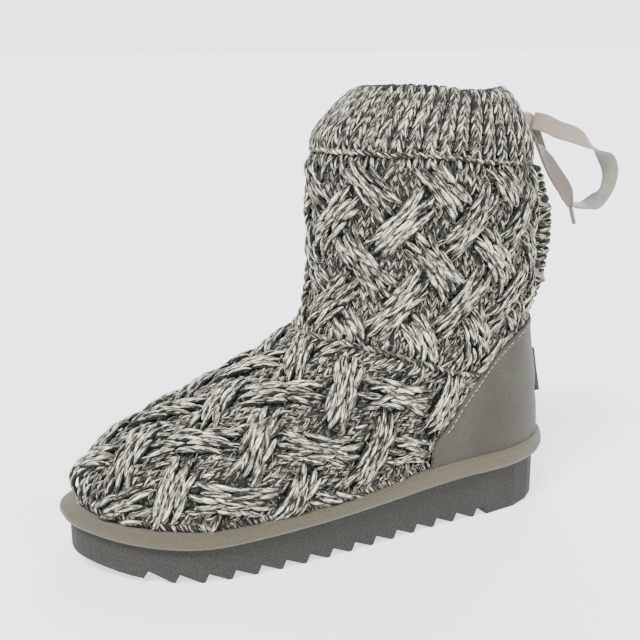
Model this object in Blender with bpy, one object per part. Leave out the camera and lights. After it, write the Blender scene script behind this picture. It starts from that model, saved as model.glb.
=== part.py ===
# Left snow boot: knitted upper, suede heel counter, taped midsole and saw-tooth outsole.
# Metres, +Z up, toe toward -Y, outer side of the foot toward +X, standing on Z = 0.

import math

import bmesh
import bpy
import numpy as np
from mathutils import Vector

MM = 0.001

# Sole
SOLE_LENGTH = 262 * MM
HEEL_WIDTH = 81 * MM
BALL_WIDTH = 102.5 * MM
TOE_TURN = 3.8 * MM  # toe tip toward the inner side
TOE_SPRING = 8 * MM
SPRING_LENGTH = 52 * MM
BAND_RISE = 8 * MM  # at the toe
BAND_RISE_LENGTH = 63 * MM
WEDGE_HEEL = 28 * MM
WEDGE_TOE = 15.5 * MM
EDGE_ROUND = 2.2 * MM
EDGE_TAPER = 0.9 * MM
HEEL_BLOCK = 48 * MM
TOOTH_PITCH = 13 * MM
TOOTH_DEPTH = 4.2 * MM
TOOTH_FLAT = 1.6 * MM
TOOTH_RISE = 2 * MM
FIRST_TOOTH = 56 * MM  # from the back of the heel to the first tip
TOE_BLOCK = 24 * MM

# Taped midsole band and insole
BAND_HEIGHT = 10 * MM
BAND_PROUD = 4.7 * MM
FEATHER_GAP = 0.8 * MM  # under the upper, the counter and the insole
INSOLE_THICKNESS = 5 * MM
INSOLE_CLEAR = 4.2 * MM  # all round inside the wall

# Upper
INSTEP_HEIGHT = 112 * MM
SHAFT_HEIGHT = 111 * MM  # from the instep to the collar
SHAFT_LENGTH = 128 * MM
SHAFT_WIDTH = 96 * MM
KNIT_WALL = 3 * MM
STRIP_RAISE = 2.4 * MM
SEAM_RAISE = 1.8 * MM
SEAM_WIDTH = 5 * MM

# Basket-weave strips: across and along repeat, one strip's length and width, and a first strip's middle
STRIP_ACROSS = 35.3 * MM
STRIP_ALONG_SHAFT = 41 * MM
STRIP_ALONG_VAMP = 48 * MM
STRIP_LENGTH = 34 * MM
STRIP_WIDTH = 14 * MM
SHAFT_STRIP = (2 * MM, 101 * MM)  # round the form from the back, height
VAMP_STRIP = (12 * MM, 37 * MM)  # down the side from the ridge, along the ridge from the toe
RIDGE_START = 10 * MM  # from the toe of the sole to where the ridge's length is counted from
SIDE_FULLNESS = 1.1  # arc over chord, from the ridge down the side

# Cuff, counter, patch and laced back
CUFF_DEPTH = 31 * MM  # at the front
CUFF_DROP = 9 * MM  # how much lower its seam runs at the back
CUFF_WALL = 5 * MM
RIB_COUNT = 47
RIB_RAISE = 1.6 * MM
COUNTER_LENGTH = 86 * MM
COUNTER_HEIGHT = 103 * MM
COUNTER_THICKNESS = 1.6 * MM
COUNTER_LIFT = 0.9 * MM  # off the form
COUNTER_CLEAR = 9 * MM  # knit lies flat this near its edge
PATCH_HEIGHT = 21 * MM
PATCH_WIDTH = 32 * MM
PATCH_THICKNESS = 1.4 * MM
PATCH_BASE = 64 * MM
PATCH_LIFT = 1 * MM  # its free lower edge stands off
EDGE_GAP = 7 * MM  # between the two curled edges
EDGE_WIDTH = 9 * MM
EDGE_RAISE = 12 * MM
BACK_CLEAR = 20 * MM  # knit lies flat this near the back
RIBBON_WIDTH = 9.5 * MM
RIBBON_THICKNESS = 1 * MM
RIBBON_LIFT = 3.8 * MM  # over the curled edges
LACING_SPREAD = 17 * MM
LACING_RISE = 9 * MM
UPPER_CROSSING = INSTEP_HEIGHT + 47 * MM
LOWER_CROSSING = INSTEP_HEIGHT + 8 * MM
KNOT_SIZE = (9 * MM, 9.5 * MM, 11 * MM)
KNOT_ROUND = 2 * MM
TAPER_START = 0.75  # share of a ribbon's length
TIP_TAPER = 0.35  # of the ribbon's width where it goes into the aglet
AGLET_LENGTH = 10 * MM
AGLET_DIAMETER = 2.4 * MM

GAP = 0.3 * MM
COLUMNS = 72
BAND_COLUMNS = 64
KNIT_ROWS = 34
LINING_ROWS = 11
COUNTER_ROWS = 12
EDGE_ROWS = 15

# Sole outline from the back of the heel round the outer side to the toe and back.
# along: share of the sole's length, heel and ball: shares of those half widths,
# turn: share of the toe's turn to the inner side.
OUTLINE = (
    # along, heel, ball, turn
    (0.000, 0.00, 0.00, 0.0),
    (0.035, 0.66, 0.00, 0.0),
    (0.130, 0.98, 0.00, 0.0),
    (0.270, 1.00, 0.00, 0.0),
    (0.420, 0.95, 0.12, 0.0),
    (0.560, 0.52, 0.53, 0.0),
    (0.700, 0.00, 0.95, 0.0),
    (0.820, 0.00, 0.87, 0.0),
    (0.920, 0.00, 0.59, 0.1),
    (0.985, 0.00, 0.24, 0.6),
    (1.000, 0.00, 0.00, 1.0),
    (0.985, 0.00, -0.28, 1.0),
    (0.920, 0.00, -0.68, 0.6),
    (0.820, 0.00, -0.95, 0.2),
    (0.700, 0.00, -1.05, 0.0),
    (0.560, -0.50, -0.40, 0.0),
    (0.420, -0.78, 0.00, 0.0),
    (0.270, -0.96, 0.00, 0.0),
    (0.130, -0.98, 0.00, 0.0),
    (0.035, -0.66, 0.00, 0.0),
)

# Level cuts through the foot. height: share of the instep height, back and front: shares of the
# sole's length from the back of the heel, half: share of half the ball width, oval: 0 sole outline, 1 oval.
FOOT_CUTS = (
    # height, back, front, half, oval
    (0.20, 0.003, 0.970, 0.94, 0.00),
    (0.28, 0.003, 0.978, 0.97, 0.00),
    (0.40, 0.004, 0.976, 0.99, 0.05),
    (0.53, 0.008, 0.893, 0.97, 0.12),
    (0.67, 0.016, 0.737, 0.93, 0.22),
    (0.80, 0.025, 0.603, 0.88, 0.38),
    (0.92, 0.028, 0.525, 0.86, 0.58),
)

# Level cuts through the shaft. height: share of the shaft height above the instep, back and front:
# shares of the shaft's length, half: share of half the shaft's width.
SHAFT_CUTS = (
    # height, back, front, half, oval
    (0.06, 0.040, 1.020, 0.91, 0.80),
    (0.20, 0.029, 1.012, 0.93, 0.95),
    (0.34, 0.027, 1.008, 0.96, 1.00),
    (0.47, 0.025, 1.005, 0.99, 1.00),
    (0.60, 0.033, 1.010, 1.01, 1.00),
    (0.73, 0.060, 0.998, 1.01, 1.00),
    (0.82, 0.095, 0.960, 0.98, 1.00),
    (0.91, 0.140, 0.885, 0.92, 1.00),
    (1.00, 0.195, 0.800, 0.84, 1.00),
)

# Top edge of the counter. along: share of its length from the back, height: share of its height.
COUNTER_EDGE = (
    # along, height
    (0.00, 1.000),
    (0.21, 0.985),
    (0.40, 0.915),
    (0.58, 0.805),
    (0.69, 0.715),
    (0.79, 0.630),
    (0.88, 0.540),
    (0.95, 0.480),
    (1.00, 0.400),
)

# Seam from the front of the ankle down to the counter. along: share of the shaft's length, height:
# share of the instep height.
VAMP_SEAM = (
    # along, height
    (0.43, 0.715),
    (0.57, 0.750),
    (0.75, 0.832),
    (0.90, 0.890),
    (1.04, 0.920),
)

# How far the curled edges stand out. height: share of their height, raise: share of their raise.
EDGE_BULGE = (
    # height, raise
    (0.00, 0.20),
    (0.10, 0.50),
    (0.28, 0.80),
    (0.48, 1.00),
    (0.64, 1.00),
    (0.80, 0.75),
    (1.00, 0.45),
)

# Cross sections: the band from its inner edge up and over, the cuff's outer and inner faces,
# and a curled edge from the gap outward
BAND_SECTION = (
    # proud, rise
    (-0.9, 0.0),
    (0.55, 0.02),
    (0.95, 0.28),
    (1.0, 0.58),
    (0.8, 0.88),
    (0.4, 1.0),
)
CUFF_OUTSIDE = (
    # rise, out
    (0.0, 0.0),
    (0.12, 0.2),
    (0.5, 0.25),
    (0.85, 0.2),
    (0.97, 0.0),
    (1.0, -0.3),
)
CUFF_INSIDE = (
    # rise, out
    (0.97, -0.6),
    (0.5, -0.6),
    (0.0, -0.6),
)
EDGE_SECTION = (
    # width, raise
    (0.0, 0.0),
    (-0.1, 0.5),
    (0.15, 0.9),
    (0.5, 1.0),
    (0.85, 0.65),
    (1.0, 0.0),
)

# Arms of a lacing crossing. reach: share of an arm's length, seat: share of the lift over the edges
ARM_STATIONS = (
    # reach, seat
    (0.50, 1.00),
    (0.78, 0.85),
    (1.00, 0.00),
)

# Knot and ribbon routes, chosen by hand: place in millimetres, and the way the ribbon faces
KNOT_PLACE = (0, 127, 205)
OUTER_LOOP = (
    # x, y, z, face x, face y, face z
    (5.6, 128.5, 206, 1, -0.4, 0),
    (8, 133, 205, 1, -0.2, 0),
    (10, 142, 201, 1, 0, 0.1),
    (9, 153, 198, 1, 0, 0.2),
    (7, 164, 194, 0.8, 0.3, 0.5),
    (5, 174, 189, 0.2, 0.6, 0.8),
    (4, 181, 184, -0.5, 0.6, 0.5),
    (3, 186, 177, -0.9, 0.4, 0.1),
    (2, 187, 170, -1, 0.2, 0),
    (0, 185, 162, -1, 0, 0),
    (-2, 181, 158, -0.8, -0.1, -0.5),
    (-3, 174, 156, -0.3, 0, -1),
    (-4, 166, 157, -0.3, 0, -1),
    (-4, 158, 162, -0.5, -0.6, -0.7),
    (-3, 149, 174, -0.3, -0.8, -0.5),
    (-1, 140, 190, -0.1, -1, -0.5),
    (0, 133, 203, 0, -1, -0.4),
)
OUTER_END = (
    # x, y, z, face x, face y, face z
    (3, 128.3, 198.8, 0.2, 1, 0),
    (7, 130, 193, 0.45, 0.9, 0),
    (11, 132, 186, 0.8, 0.6, 0.1),
    (12.5, 139.5, 178, 1, 0.2, 0.1),
    (13.5, 146, 169, 1, 0.1, 0.1),
    (13, 150, 162, 1, 0.1, 0),
    (12, 152, 158, 1, 0, 0),
)
INNER_LOOP = (
    # x, y, z, face x, face y, face z
    (-5.3, 128.5, 206, 0, 1, 0),
    (-14, 129, 206, 0, 1, 0.1),
    (-26, 127, 204, -0.2, 1, 0.2),
    (-38, 121, 198, -0.4, 0.8, 0.5),
    (-47, 113, 190, -0.6, 0.3, 0.7),
    (-50, 106, 182, -0.9, 0, 0.4),
    (-48, 104, 173, -0.9, -0.3, -0.2),
    (-42, 112, 171, -0.5, -0.5, -0.7),
    (-34, 125, 175, -0.2, -0.6, -0.8),
    (-26, 132, 179, 0, -0.9, -0.5),
    (-19, 137, 187, 0, -1, -0.2),
    (-13, 136, 195, 0, -1, 0),
    (-9.8, 131.5, 200, 0, -1, 0),
)
INNER_END = (
    # x, y, z, face x, face y, face z
    (-3, 126.3, 198.8, -0.2, 1, 0),
    (-9, 129.5, 192, -0.3, 1, 0),
    (-18, 129, 184, -0.4, 0.9, 0.1),
    (-26, 124, 175, -0.5, 0.85, 0.1),
    (-31, 119.5, 166, -0.6, 0.8, 0.1),
    (-34, 117.5, 158, -0.6, 0.8, 0.1),
)

BOW = ("ribbon_knot", "ribbon_loop", "ribbon_end", "aglet")

COLOURS = {
    # name: (red, green, blue, roughness)
    "grey_foam_rubber": (0.115, 0.117, 0.108, 0.75),
    "taupe_twill_tape": (0.30, 0.27, 0.24, 0.85),
    "marled_yarn": (0.42, 0.43, 0.38, 0.95),
    "grey_suede": (0.18, 0.17, 0.15, 0.95),
    "grosgrain_ribbon": (0.42, 0.36, 0.32, 0.60),
    "grey_plastic": (0.30, 0.30, 0.29, 0.40),
    "olive_leather": (0.16, 0.15, 0.10, 0.60),
    "pile_fleece": (0.48, 0.46, 0.42, 1.0),
}


def clear_scene():
    for thing in list(bpy.data.objects):
        bpy.data.objects.remove(thing)


def material(name):
    found = bpy.data.materials.get(name)
    if found:
        return found
    red, green, blue, roughness = COLOURS[name]
    made = bpy.data.materials.new(name)
    made.use_nodes = True
    shader = made.node_tree.nodes["Principled BSDF"]
    shader.inputs["Base Color"].default_value = (red, green, blue, 1)
    shader.inputs["Roughness"].default_value = roughness
    shader.inputs["Metallic"].default_value = 0
    made.diffuse_color = (red, green, blue, 1)
    return made


def through(xs, ys, at):
    # smooth curve through the points, read at the given places
    xs = np.asarray(xs, float)
    ys = np.asarray(ys, float)
    slope = np.gradient(ys, xs)
    at = np.clip(at, xs[0], xs[-1])
    i = np.clip(np.searchsorted(xs, at) - 1, 0, len(xs) - 2)
    width = xs[i + 1] - xs[i]
    t = (at - xs[i]) / width
    return (
        (2 * t**3 - 3 * t**2 + 1) * ys[i]
        + (t**3 - 2 * t**2 + t) * width * slope[i]
        + (3 * t**2 - 2 * t**3) * ys[i + 1]
        + (t**3 - t**2) * width * slope[i + 1]
    )


def closed_curve(points, steps):
    # smooth closed curve through the points
    before, after = np.roll(points, 1, 0), np.roll(points, -1, 0)
    beyond = np.roll(points, -2, 0)
    t = (np.arange(steps) / steps)[:, None, None]
    curve = 0.5 * (
        2 * points
        + (after - before) * t
        + (2 * before - 5 * points + 4 * after - beyond) * t**2
        + (3 * points - before - 3 * after + beyond) * t**3
    )
    return curve.transpose(1, 0, 2).reshape(-1, points.shape[1])


def lengths_along(points):
    return np.concatenate([[0], np.cumsum(np.linalg.norm(np.diff(points, axis=0), axis=1))])


def spaced(points, count):
    # points at equal steps along an open curve
    run = lengths_along(points)
    at = np.linspace(0, run[-1], count)
    return np.stack([np.interp(at, run, points[:, k]) for k in range(points.shape[1])], 1)


def sole_outline(turns):
    # (x, along) of the sole's edge at each turn: 0 back of the heel, half a circle the toe
    table = np.array(OUTLINE)
    x = table[:, 1] * HEEL_WIDTH / 2 + table[:, 2] * BALL_WIDTH / 2 - table[:, 3] * TOE_TURN
    curve = closed_curve(np.stack([x, table[:, 0] * SOLE_LENGTH], 1), 16)
    toe = int(curve[:, 1].argmax())
    outer = spaced(curve[: toe + 1], 181)
    inner = spaced(np.vstack([curve[toe:], curve[:1]]), 181)
    loop = np.vstack([outer, inner[1:]])
    share = np.linspace(0, 2 * math.pi, len(loop))
    turns = np.mod(turns, 2 * math.pi)
    return np.interp(turns, share, loop[:, 0]), np.interp(turns, share, loop[:, 1])


def grown_outline(turns, out):
    # the sole's edge moved outward
    step = 0.02
    x0, a0 = sole_outline(turns - step)
    x1, a1 = sole_outline(turns + step)
    x, along = sole_outline(turns)
    size = np.hypot(x1 - x0, a1 - a0)
    return x + (a1 - a0) / size * out, along - (x1 - x0) / size * out


def to_world(x, along, z):
    return np.stack(np.broadcast_arrays(x, SOLE_LENGTH / 2 - along, z), -1)


def curved_up(along, rise, length):
    # rise over the last stretch before the toe
    share = (along - (SOLE_LENGTH - length)) / length
    return rise * np.clip(share, 0, 1.1) ** 2


def band_base(along):
    share = np.clip(along / SOLE_LENGTH, 0, 1)
    wedge = WEDGE_HEEL + (WEDGE_TOE - WEDGE_HEEL) * share
    return wedge + curved_up(along, BAND_RISE, BAND_RISE_LENGTH)


def feather_height(along):
    return band_base(along) + BAND_HEIGHT + FEATHER_GAP


def form_cuts():
    foot = np.array(FOOT_CUTS) * (INSTEP_HEIGHT, SOLE_LENGTH, SOLE_LENGTH, BALL_WIDTH / 2, 1)
    shaft = np.array(SHAFT_CUTS) * (SHAFT_HEIGHT, SHAFT_LENGTH, SHAFT_LENGTH, SHAFT_WIDTH / 2, 1)
    shaft[:, 0] += INSTEP_HEIGHT
    return np.vstack([foot, shaft]).T


def form(turns, z):
    # the last with its shaft: the point at this turn and height
    height, back, front, half, oval = form_cuts()
    back, front, half, oval = (through(height, row, z) for row in (back, front, half, oval))
    x, along = sole_outline(turns)
    oval = np.clip(oval, 0, 1)
    share = (1 - oval) * along / SOLE_LENGTH + oval * (1 - np.cos(turns)) / 2
    side = (1 - oval) * x / (BALL_WIDTH / 2) + oval * np.sin(turns)
    return to_world(half * side, back + (front - back) * share, z)


def form_normal(turns, z):
    step = 0.03
    rise = 0.5 * MM
    around = form(turns + step, z) - form(turns - step, z)
    up = form(turns, z + rise) - form(turns, z - rise)
    normal = np.cross(up, around)
    return normal / np.linalg.norm(normal, axis=-1, keepdims=True)


def pushed_form(turns, z, out):
    turns, z = np.broadcast_arrays(turns, z)
    return form(turns, z) + form_normal(turns, z) * np.broadcast_to(out, z.shape)[..., None]


def seam_height(along):
    # height of the seam between vamp and shaft
    table = np.array(VAMP_SEAM)
    return through(table[:, 0] * SHAFT_LENGTH, table[:, 1] * INSTEP_HEIGHT, along)


def cuff_base(turns):
    return INSTEP_HEIGHT + SHAFT_HEIGHT - CUFF_DEPTH - CUFF_DROP * (0.5 + 0.5 * np.cos(turns)) ** 1.5


def counter_top(along):
    table = np.array(COUNTER_EDGE)
    return through(table[:, 0] * COUNTER_LENGTH, table[:, 1] * COUNTER_HEIGHT, along)


def counter_rise(turns):
    # height of the counter's edge at each turn, found where the form meets the edge
    z = np.full_like(turns, COUNTER_HEIGHT)
    for _ in range(8):
        z = counter_top(SOLE_LENGTH / 2 - form(turns, z)[..., 1])
    return z


def strip(across, along, repeat_along, lean):
    # height of the nearest raised strip of one direction, 0 to 1
    across = np.mod(across + STRIP_ACROSS / 2, STRIP_ACROSS) - STRIP_ACROSS / 2
    along = np.mod(along + repeat_along / 2, repeat_along) - repeat_along / 2
    size = math.hypot(STRIP_ACROSS, repeat_along)
    run = (across * STRIP_ACROSS * lean + along * repeat_along) / size
    off = (across * repeat_along - along * STRIP_ACROSS * lean) / size
    body = 1 - np.abs(off / (STRIP_WIDTH / 2)) ** 3
    ends = 1 - np.abs(run / (STRIP_LENGTH / 2)) ** 4
    return np.sqrt(np.clip(body, 0, 1) * np.clip(ends, 0, 1))


def basket(across, along, repeat_along):
    rising = strip(across, along, repeat_along, 1)
    falling = strip(across - STRIP_ACROSS / 2, along - repeat_along / 2, repeat_along, -1)
    return np.maximum(rising, falling)


def shaft_weave(turns, z):
    # round the form the short way from the back, and up
    girth = math.pi * (SHAFT_LENGTH + SHAFT_WIDTH) / 2
    turns = np.mod(turns, 2 * math.pi)
    round_form = girth * np.minimum(turns, 2 * math.pi - turns) / (2 * math.pi)
    return basket(round_form - SHAFT_STRIP[0], z - SHAFT_STRIP[1], STRIP_ALONG_SHAFT)


def vamp_weave(points):
    # the ridge runs from the toe to the ankle: down from it, and along it
    height, _, front, _, _ = form_cuts()
    low, high = 2, len(FOOT_CUTS) - 1
    lean = math.atan2(height[high] - height[low], front[low] - front[high])
    along = SOLE_LENGTH / 2 - points[..., 1]
    z = points[..., 2]
    run = (SOLE_LENGTH - along) * math.cos(lean) + z * math.sin(lean) - RIDGE_START
    deep = (front[low] - along) * math.sin(lean) - (z - height[low]) * math.cos(lean)
    down = SIDE_FULLNESS * np.hypot(points[..., 0], deep)
    return basket(VAMP_STRIP[0] - down, run - VAMP_STRIP[1], STRIP_ALONG_VAMP)


def knit_raise(turns, z):
    # how far the knitted wall stands out of the form: strips, and the seam of the vamp
    points = form(turns, z)
    along = SOLE_LENGTH / 2 - points[..., 1]
    from_seam = z - seam_height(along)
    raised = STRIP_RAISE * np.where(from_seam > 0, shaft_weave(turns, z), vamp_weave(points))
    seam = SEAM_RAISE * np.clip(1 - (from_seam / (SEAM_WIDTH / 2)) ** 2, 0, 1)
    edges = (
        np.maximum(z - counter_top(along) - COUNTER_CLEAR, along - COUNTER_LENGTH - COUNTER_CLEAR),
        z - feather_height(along),
        cuff_base(turns) - z,
        along - BACK_CLEAR,
    )
    fade = np.min([np.clip(edge / SEAM_WIDTH, 0, 1) for edge in edges], axis=0)
    return np.maximum(raised, seam) * fade


def finish(name, points, faces, surface, smooth):
    mesh = bpy.data.meshes.new(name)
    mesh.from_pydata([tuple(p) for p in points], [], faces)
    shape = bmesh.new()
    shape.from_mesh(mesh)
    bmesh.ops.remove_doubles(shape, verts=shape.verts, dist=0.00001)
    bmesh.ops.recalc_face_normals(shape, faces=shape.faces)
    shape.to_mesh(mesh)
    shape.free()
    made = bpy.data.objects.new(name, mesh)
    bpy.context.collection.objects.link(made)
    mesh.materials.append(material(surface))
    if smooth:
        mesh.shade_smooth()
    return made


def ring_faces(start, other, count, other_count):
    # faces between two closed rings, where the second has as many points or half as many
    faces = []
    ratio = count // other_count
    for k in range(other_count):
        near, far = other + k, other + (k + 1) % other_count
        ring = [start + (k * ratio + j) % count for j in range(ratio + 1)]
        if ratio == 1:
            faces.append((ring[0], ring[1], far, near))
        else:
            faces += [(ring[0], ring[1], near), (ring[1], far, near), (ring[1], ring[2], far)]
    return faces


def cap(start, count):
    # faces straight across a ring, from its first point to the opposite one
    half = count // 2
    faces = [(start, start + 1, start + count - 1)]
    for k in range(1, half - 1):
        faces.append((start + k, start + k + 1, start + count - k - 1, start + count - k))
    faces.append((start + half - 1, start + half, start + half + 1))
    return faces


def ringed(name, rings, surface, closed=False, capped=False, smooth=True):
    # skin over rings of points: closed joins the last to the first, capped fills both ends
    points = np.vstack(rings)
    starts = np.cumsum([0] + [len(ring) for ring in rings])
    faces = []
    for k in range(len(rings) - 1 + closed):
        here, there = k, (k + 1) % len(rings)
        size, next_size = len(rings[here]), len(rings[there])
        if size >= next_size:
            faces += ring_faces(starts[here], starts[there], size, next_size)
        else:
            faces += ring_faces(starts[there], starts[here], next_size, size)
    if capped:
        faces += cap(starts[0], len(rings[0])) + cap(starts[-2], len(rings[-1]))
    return finish(name, points, faces, surface, smooth)


def thick(name, outer, inner, faces, surface, smooth=True):
    # solid between an outer and an inner layer with the same faces
    count = len(outer)
    sides = {}
    for face in faces:
        for here, there in zip(face, face[1:] + face[:1]):
            key = (min(here, there), max(here, there))
            sides[key] = sides.get(key, 0) + 1
    border = [key for key, uses in sides.items() if uses == 1]
    walls = [(here, there, there + count, here + count) for here, there in border]
    under = [tuple(k + count for k in face) for face in faces]
    return finish(name, np.vstack([outer, inner]), faces + under + walls, surface, smooth)


def plate(name, outer, inner, surface):
    # solid between two grids of the same size
    rows, columns = outer.shape[:2]
    corners = [r * columns + c for r in range(rows - 1) for c in range(columns - 1)]
    faces = [(k, k + 1, k + columns + 1, k + columns) for k in corners]
    return thick(name, outer.reshape(-1, 3), inner.reshape(-1, 3), faces, surface)


def tooth_profile():
    # (along, height) of the underside from the heel to the toe
    profile = [(0, 0), (HEEL_BLOCK, 0), (HEEL_BLOCK + TOOTH_RISE, TOOTH_DEPTH)]
    tip = FIRST_TOOTH
    while tip < SOLE_LENGTH - TOE_BLOCK:
        profile += [
            (tip - TOOTH_RISE, TOOTH_DEPTH),
            (tip, 0),
            (tip + TOOTH_FLAT, 0),
        ]
        tip += TOOTH_PITCH
    profile += [(tip - TOOTH_RISE, TOOTH_DEPTH), (tip, 0), (SOLE_LENGTH, 0)]
    return np.array(profile)


def build_outsole():
    profile = tooth_profile()
    heel = HEEL_BLOCK * np.array([0, 0.01, 0.04, 0.1, 0.2, 0.35, 0.6])
    toe = SOLE_LENGTH - TOE_BLOCK * np.array([0.8, 0.6, 0.42, 0.28, 0.16, 0.07, 0.02, 0])
    stations = np.unique(np.round(np.concatenate([heel, profile[1:-1, 0], toe]), 6))
    turns = np.linspace(0, math.pi, 400)
    outer_x, outer_along = sole_outline(turns)
    inner_x, inner_along = sole_outline(-turns)
    bottom = np.interp(stations, profile[:, 0], profile[:, 1])
    bottom += curved_up(stations, TOE_SPRING, SPRING_LENGTH)
    top = band_base(stations)
    low = bottom + EDGE_ROUND
    out = np.interp(stations, outer_along, outer_x)
    within = np.interp(stations, inner_along, inner_x)
    middle = (out + within) / 2
    half = np.maximum((out - within) / 2, GAP)
    foot = np.maximum(half - EDGE_TAPER, GAP / 2)
    rings = []
    for k, along in enumerate(stations):
        x = middle[k] + np.array([-foot[k], foot[k], half[k], half[k], -half[k], -half[k]])
        z = np.array([bottom[k], bottom[k], low[k], top[k], top[k], low[k]])
        rings.append(to_world(x, np.full(6, along), z))
    ringed("outsole", rings, "grey_foam_rubber", capped=True, smooth=False)


def build_band():
    turns = column_turns(BAND_COLUMNS)
    rings = []
    for proud, rise in BAND_SECTION:
        x, along = grown_outline(turns, proud * BAND_PROUD)
        rings.append(to_world(x, along, band_base(along) + GAP + rise * BAND_HEIGHT))
    ringed("midsole_band", rings, "taupe_twill_tape", capped=True)


def build_insole():
    turns = column_turns(BAND_COLUMNS)
    _, along = sole_outline(turns)
    base = feather_height(along)
    inside = pushed_form(turns, base + INSOLE_THICKNESS, -KNIT_WALL - INSOLE_CLEAR)
    rings = []
    for rise in (0, 1):
        rings.append(inside.copy())
        rings[-1][:, 2] = base + rise * INSOLE_THICKNESS
    ringed("insole", rings, "pile_fleece", capped=True)


def column_turns(count, start=0.0):
    return start + 2 * math.pi * np.arange(count) / count


def build_upper():
    turns = column_turns(COLUMNS)
    _, along = sole_outline(turns)
    rings = []
    low = feather_height(along)
    high = cuff_base(turns) - GAP
    for share in np.linspace(0, 1, KNIT_ROWS):
        z = low + (high - low) * share
        ring = pushed_form(turns, z, knit_raise(turns, z))
        if share in (0, 1):
            ring[:, 2] = z
        rings.append(ring)
    half = slice(None, None, 2)
    for share in np.linspace(1, 0, LINING_ROWS):
        z = (low + (high - low) * share)[half]
        ring = pushed_form(turns[half], z, np.full_like(z, -KNIT_WALL))
        if share in (0, 1):
            ring[:, 2] = z
        rings.append(ring)
    ringed("upper", rings, "marled_yarn", closed=True)


def build_cuff():
    count = 2 * RIB_COUNT
    turns = column_turns(count)
    rib = RIB_RAISE * (np.arange(count) % 2)
    top = INSTEP_HEIGHT + SHAFT_HEIGHT
    base = cuff_base(turns)
    rings = []
    for rise, out in CUFF_OUTSIDE:
        z = base + (top - base) * rise
        ring = pushed_form(turns, z, out * CUFF_WALL + rib)
        ring[:, 2] = z
        rings.append(ring)
    for rise, out in CUFF_INSIDE:
        z = (base + (top - base) * rise)[::2]
        ring = pushed_form(turns[::2], z, out * CUFF_WALL)
        ring[:, 2] = z
        rings.append(ring)
    ringed("rib_cuff", rings, "marled_yarn", closed=True)


def build_counter():
    outer_edge, inner_edge = turn_at(COUNTER_LENGTH)
    turns = column_turns(COLUMNS, -math.pi)
    turns = turns[(turns > -inner_edge) & (turns < outer_edge)]
    turns = np.concatenate([[-inner_edge], turns, [outer_edge]])
    _, along = sole_outline(turns)
    low = feather_height(along)
    high = counter_rise(turns)
    rows = [low + (high - low) * share for share in np.linspace(0, 1, COUNTER_ROWS)]
    layers = []
    for out in (COUNTER_LIFT + COUNTER_THICKNESS, COUNTER_LIFT):
        grid = np.array([pushed_form(turns, z, np.full_like(z, out)) for z in rows])
        grid[0, :, 2] = low
        layers.append(grid)
    plate("heel_counter", layers[0], layers[1], "grey_suede")


def turn_at(along):
    # turns at which the outer and the inner side reach this distance from the heel
    turns = np.linspace(0, math.pi, 721)
    found = []
    for side in (1, -1):
        places = SOLE_LENGTH / 2 - form(side * turns, np.full_like(turns, WEDGE_HEEL + BAND_HEIGHT))[:, 1]
        found.append(np.interp(along, places, turns))
    return found


def across_back(distance, z):
    # turn at this distance from the middle of the back, measured round the form
    distance, z = np.broadcast_arrays(distance, z)
    turns = np.linspace(-1, 1, 81)
    found = []
    for far, height in zip(distance, z):
        run = lengths_along(form(turns, np.full_like(turns, height)))
        found.append(np.interp(far, run - np.interp(0, turns, run), turns))
    return np.array(found)


def build_patch():
    across = np.linspace(-0.5, 0.5, 7) * PATCH_WIDTH
    shares = np.linspace(0, 1, 5)
    layers = []
    for extra in (PATCH_THICKNESS, 0):
        rows = []
        for share in shares:
            z = np.full_like(across, PATCH_BASE + share * PATCH_HEIGHT)
            out = COUNTER_LIFT + COUNTER_THICKNESS + 2 * GAP + PATCH_LIFT * (1 - share) + extra
            rows.append(pushed_form(across_back(across, z), z, out))
        layers.append(np.array(rows))
    plate("heel_patch", layers[0], layers[1], "olive_leather")


def edge_span():
    low = COUNTER_HEIGHT + 2 * GAP
    high = INSTEP_HEIGHT + SHAFT_HEIGHT - CUFF_DEPTH - CUFF_DROP - 2 * GAP
    return low, high


def edge_raise(z):
    # how far the curled edges stand out at this height
    low, high = edge_span()
    table = np.array(EDGE_BULGE)
    return EDGE_RAISE * through(table[:, 0], table[:, 1], (z - low) / (high - low))


def build_back_edges():
    section = np.array(EDGE_SECTION)
    for name, side in (("back_edge_left", 1), ("back_edge_right", -1)):
        rings = []
        for z in np.linspace(*edge_span(), EDGE_ROWS):
            across = side * (EDGE_GAP / 2 + section[:, 0] * EDGE_WIDTH)
            out = 2 * GAP + section[:, 1] * edge_raise(z)
            rings.append(pushed_form(across_back(across, z), z, out))
        ringed(name, rings, "marled_yarn", capped=True)


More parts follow.
